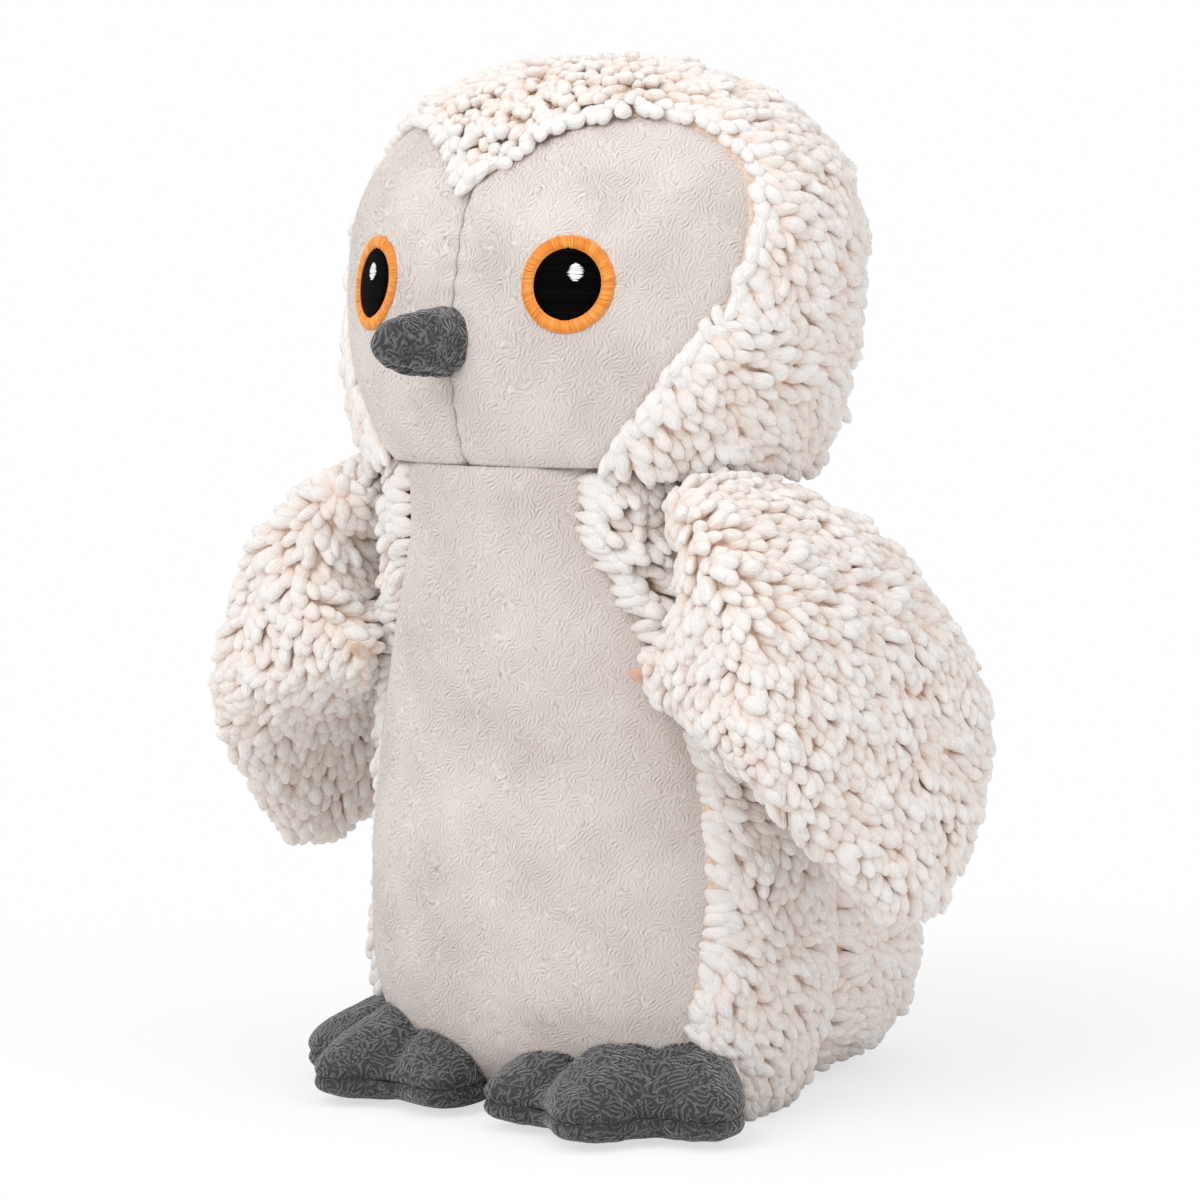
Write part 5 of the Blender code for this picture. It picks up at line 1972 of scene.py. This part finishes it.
@dataclass
class Tail:
    """The tail: a fleece cover over its filling, sewn to the back."""

    form: TailForm
    pile: YarnPile
    finishes: Finishes

    def build(self) -> None:
        """The knit, the pile and the filling."""
        body = self.form.body

        def clear(points: Array, normals: Array) -> Array:
            """Whether points stand clear of the body's fleece."""
            behind = body.pushed_back(points, FLEECE)[:, 1] <= points[:, 1]
            return behind & (points[:, 1] > 0) & (points[:, 2] > -FLEECE / 2)

        knit = backing(self.form, 110, 70)
        knit.points = body.pushed_back(knit.points, FLEECE + GAP)
        fit(knit.piece("tail_backing", self.finishes.knit), "body", "curly_fleece")
        roots, normals = self.form.scatter(self.pile.spacing, 23, clear)
        flows = combed(normals, (0.7, (0, 0, -1)), (0.8, (0, 1, 0)))
        piece = self.pile.nubs(roots, normals, flows, 39).piece("tail_fleece", self.finishes.yarn)
        fit(piece, "body", "curly_fleece", "tail_cover", fill=0.8)
        points, quads, triangles = self.form.ball(60, 40, -FILLING_SLACK)
        points = body.pushed_back(points, FLEECE + 2 * GAP)
        lump = Mesh(points, quads, triangles)
        fit(lump.piece("tail_filling", self.finishes.fibre), "body", "polyester_filling", "tail_stuffing")


@dataclass
class Wing:
    """One wing: an outer and an inner fleece panel over the filling."""

    side: Side
    form: WingForm
    pile: YarnPile
    finishes: Finishes

    def outside(self, points: Array, normals: Array) -> Array:
        """Whether points of the left wing are on its outer panel.

        Args:
            points: the points.
            normals: directions out of the surface.

        Returns:
            True on the outer panel.
        """
        share = np.clip((self.form.axis_height - points[:, 2]) / self.form.length, 0, 1)
        slope = np.radians(smooth(self.form.along_shares, self.form.slopes, share))
        out = np.stack([-np.sin(slope), np.zeros(len(points)), np.cos(slope)], axis=1)
        return (normals * out).sum(-1) > 0

    def build(self) -> None:
        """The knit, both panels' pile and the filling."""
        word, body = self.side.word, f"{self.side.word}_wing"
        knit = backing(self.form, 120, 90).mirrored(self.side)
        fit(knit.piece(f"wing_backing_{word}", self.finishes.knit), body, "curly_fleece")
        roots, normals = self.form.scatter(self.pile.spacing, 24, lambda points, normals: points[:, 2] > 0)
        low = rise(self.form.axis_height, self.form.axis_height - 60 * MM, roots[:, 2])
        flows = combed(normals, (0.55 + 0.5 * low, (0, 0, -1)), (0.85 - 0.45 * low, (0, 1, 0)),
                       (0.5, (1, 0, 0)))
        outer = self.outside(roots, normals)
        for name, node, mine, seed in (("outer", "wing_outer", outer, 45), ("inner", "wing_inner", ~outer, 46)):
            nubs = self.pile.nubs(roots[mine], normals[mine], flows[mine], seed).mirrored(self.side)
            piece = nubs.piece(f"wing_{name}_fleece_{word}", self.finishes.yarn)
            fit(piece, body, "curly_fleece", f"{node}_{word}", fill=0.8)
        points, quads, triangles = self.form.ball(60, 50, -FILLING_SLACK)
        lump = Mesh(points, quads, triangles).mirrored(self.side)
        fit(lump.piece(f"wing_filling_{word}", self.finishes.fibre), body, "polyester_filling",
            f"wing_stuffing_{word}")


@dataclass
class Foot:
    """One foot: a minky upper and sole, sewn together round three toes, over the filling."""

    side: Side
    form: FootForm
    finishes: Finishes
    swirl: float = 7.0 * MM
    swirl_depth: float = 0.15 * MM
    seam_dip: float = 1.3 * MM
    joined_height: float = 22 * MM

    def cover(self, upper: bool) -> Mesh:
        """The upper or the sole, thick, with its swirls, and drawn in along the seam.

        Args:
            upper: whether it is the upper.

        Returns:
            The cloth.
        """
        columns, rows = 420, 78 if upper else 44
        low, high = (0.5, 1.0) if upper else (0.0, 0.5)
        shares = low + (high - low) * np.linspace(0, 1, rows) ** (1.4 if upper else 1.0)
        if not upper:
            shares = shares[::-1]
        v, u = np.meshgrid(shares, np.arange(columns) / columns, indexing="ij")
        u, v = u.ravel(), v.ravel()
        outer = self.form.at(u, v, MINKY)
        normals = self.form.normals(u, np.clip(v, low + 1e-3, high - 1e-3), MINKY)
        crest = np.clip(ripples(outer, self.swirl, 81), -1, 1)
        seam_gap = np.abs(outer[:, 2] - self.form.seam_height)
        pucker = 0.5 + 0.5 * np.cos(u * math.tau * 34 + 2 * ripples(outer, 14 * MM, 83))
        seam = bell(seam_gap, 1.3 * MM) * (0.55 + 0.45 * pucker)
        lift = self.swirl_depth * crest - self.seam_dip * seam
        outer = outer + normals * lift[:, None]
        inner = self.form.at(u, v, 0.2 * MM)
        sign = 1 if upper else -1
        outer[:, 2] = np.where(sign * (outer[:, 2] - self.form.seam_height) < GAP / 2,
                               self.form.seam_height + sign * GAP / 2, outer[:, 2])
        inner[:, 2] = np.where(sign * (inner[:, 2] - self.form.seam_height) < GAP / 2,
                               self.form.seam_height + sign * GAP / 2, inner[:, 2])
        outer = self.form.body.pushed_out(outer, VELOUR + GAP)
        outer[:, 2] = np.maximum(outer[:, 2], 0.1 * MM)
        quads = band_faces(rows, columns)
        quads = quads if upper else np.roll(quads[:, ::-1], 1, axis=1)
        buried = self.form.body.gap(self.form.whole(u, v, MINKY), VELOUR + GAP) < 0
        quads = quads[~buried[quads].all(axis=1)]
        # crest carries a painted highlight on the raised swirls and painted shade along the drawn-in seam
        values = {"crest": np.clip(0.36 + 0.05 * crest - 0.3 * seam, 0, 1)}
        return thickened(outer, inner, quads, NO_TRIANGLES, values)

    def build(self) -> None:
        """The upper, the sole and the filling."""
        word, body = self.side.word, f"{self.side.word}_foot"
        for name, node, upper in (("foot_upper", "foot_top", True), ("foot_under", "foot_sole", False)):
            piece = self.cover(upper).mirrored(self.side).piece(f"{name}_{word}", self.finishes.minky)
            fit(piece, body, "grey_minky", f"{node}_{word}", fill=0.75)
        points, quads, triangles = self.form.ball(90, 30, -FILLING_SLACK)
        points[:, 2] = np.minimum(points[:, 2], self.joined_height - MINKY)
        points = self.form.body.pushed_out(points, VELOUR + GAP)
        lump = Mesh(points, quads, triangles).mirrored(self.side)
        fit(lump.piece(f"foot_filling_{word}", self.finishes.fibre), body, "polyester_filling",
            f"foot_stuffing_{word}")


# The studio

@dataclass(frozen=True)
class Studio:
    """A pale floor, soft lamps and the photograph's camera."""

    azimuth: float = 40.0
    elevation: float = 5.1
    distance: float = 1.097
    aim: tuple[float, float, float] = (8.4 * MM, -10 * MM, 143.2 * MM)
    lens: float = 116.7
    sensor: float = 36.0
    floor_size: float = 6.0
    ambient: float = 0.54
    ambient_colour: str = "#FFFFFF"
    floor_colour: str = "#F7F7F7"
    shadow_share: float = 0.35
    shadow_reach: float = 0.40

    def away(self, azimuth: float, elevation: float, distance: float) -> Vector:
        """A place round the aim.

        Args:
            azimuth: degrees round.
            elevation: degrees up.
            distance: how far.

        Returns:
            The place.
        """
        a, e = math.radians(azimuth), math.radians(elevation)
        way = Vector((math.sin(a) * math.cos(e), -math.cos(a) * math.cos(e), math.sin(e)))
        return Vector(self.aim) + way * distance

    def build(self) -> None:
        """Sets up the floor, the lamps, the world and the camera."""
        self.build_floor()
        self.build_world()
        for name, azimuth, elevation, distance, size, power in (
                ("key", 0.0, 36.0, 1.6, 1.3, 10.5), ("fill", 95.0, 25.0, 1.7, 1.4, 4.0),
                ("top", 40.0, 80.0, 1.5, 1.5, 5.0), ("back", 220.0, 35.0, 1.7, 1.4, 5.0)):
            lamp = bpy.data.lights.new(f"{name}_softbox", "AREA")
            lamp.shape, lamp.size, lamp.energy = "DISK", size, power
            thing = bpy.data.objects.new(f"{name}_softbox", lamp)
            thing.location = self.away(azimuth, elevation, distance)
            thing.rotation_euler = (Vector(self.aim) - thing.location).to_track_quat("-Z", "Y").to_euler()
            bpy.context.scene.collection.objects.link(thing)
        camera = bpy.data.cameras.new("camera")
        camera.lens, camera.sensor_width = self.lens, self.sensor
        thing = bpy.data.objects.new("camera", camera)
        thing.location = self.away(self.azimuth, self.elevation, self.distance)
        thing.rotation_euler = (Vector(self.aim) - thing.location).to_track_quat("-Z", "Y").to_euler()
        bpy.context.scene.collection.objects.link(thing)
        bpy.context.scene.camera = thing
        bpy.context.scene.view_settings.view_transform = "Standard"

    def build_floor(self) -> None:
        """A pale floor that shows white to the camera and still takes a faint shadow."""
        half = self.floor_size / 2
        corners = np.array([[-half, -half, 0], [half, -half, 0], [half, half, 0], [-half, half, 0]])
        look = Look("pale_floor")
        tree = look.tree
        ray = add_node(tree, "LightPath")
        place = add_node(tree, "TexCoord").outputs["Object"]
        away = add_node(tree, "VectorMath", links={0: place}, operation="LENGTH").outputs["Value"]
        clear = add_node(tree, "MapRange", {"From Min": 0.12, "From Max": self.shadow_reach,
                                            "To Min": 1 - self.shadow_share, "To Max": 1.0},
                         {"Value": away}, interpolation_type="SMOOTHSTEP").outputs[0]
        shader = add_node(tree, "BsdfDiffuse", {"Color": linear(self.floor_colour), "Roughness": 1.0})
        white = add_node(tree, "Emission", {"Color": (1.0, 1.0, 1.0, 1.0), "Strength": 1.0})
        seen = add_node(tree, "Math", links={0: ray.outputs["Is Camera Ray"], 1: clear},
                        operation="MULTIPLY").outputs[0]
        mixed = add_node(tree, "MixShader", links={0: seen, 1: shader.outputs[0], 2: white.outputs[0]})
        tree.links.new(mixed.outputs[0], look.surface)
        floor = Mesh(corners, np.array([[0, 1, 2, 3]]), NO_TRIANGLES).piece("floor", look.material)

    def build_world(self) -> None:
        """An even surround: plain light on the owl, white behind it."""
        world = bpy.data.worlds.new("surround")
        bpy.context.scene.world = world
        world.use_nodes = True
        tree = world.node_tree
        tree.nodes.clear()
        ray = add_node(tree, "LightPath")
        seen = add_node(tree, "Math", links={0: ray.outputs["Is Camera Ray"], 1: ray.outputs["Is Glossy Ray"]},
                        operation="MAXIMUM").outputs[0]
        seen = add_node(tree, "Math", links={0: seen, 1: ray.outputs["Is Transmission Ray"]},
                        operation="MAXIMUM").outputs[0]
        even = add_node(tree, "Background", {"Color": linear(self.ambient_colour), "Strength": self.ambient})
        white = add_node(tree, "Background", {"Color": (1.0, 1.0, 1.0, 1.0), "Strength": 1.0})
        mixed = add_node(tree, "MixShader", links={0: seen, 1: even.outputs[0], 2: white.outputs[0]})
        output = add_node(tree, "OutputWorld", links={"Surface": mixed.outputs[0]})
        output.is_active_output = True


def main() -> None:
    """Builds the owl, piece by piece, and the studio round it."""
    logging.basicConfig(level=logging.INFO, format="%(message)s")
    finishes = Finishes.make()
    body_form = BodyForm()
    pile = YarnPile()
    head = Head(HeadForm(), FaceOutline(), pile, finishes)
    head.build()
    for side in Side:
        Eye(side, head).build()
    Beak(BeakForm(head.form), finishes).build()
    Body(body_form, BellyOutline(), pile, finishes).build()
    Tail(TailForm(body_form), pile, finishes).build()
    for side in Side:
        Wing(side, WingForm(body_form), pile, finishes).build()
        Foot(side, FootForm(body_form), finishes).build()
    Studio().build()


if __name__ == "__main__":
    main()
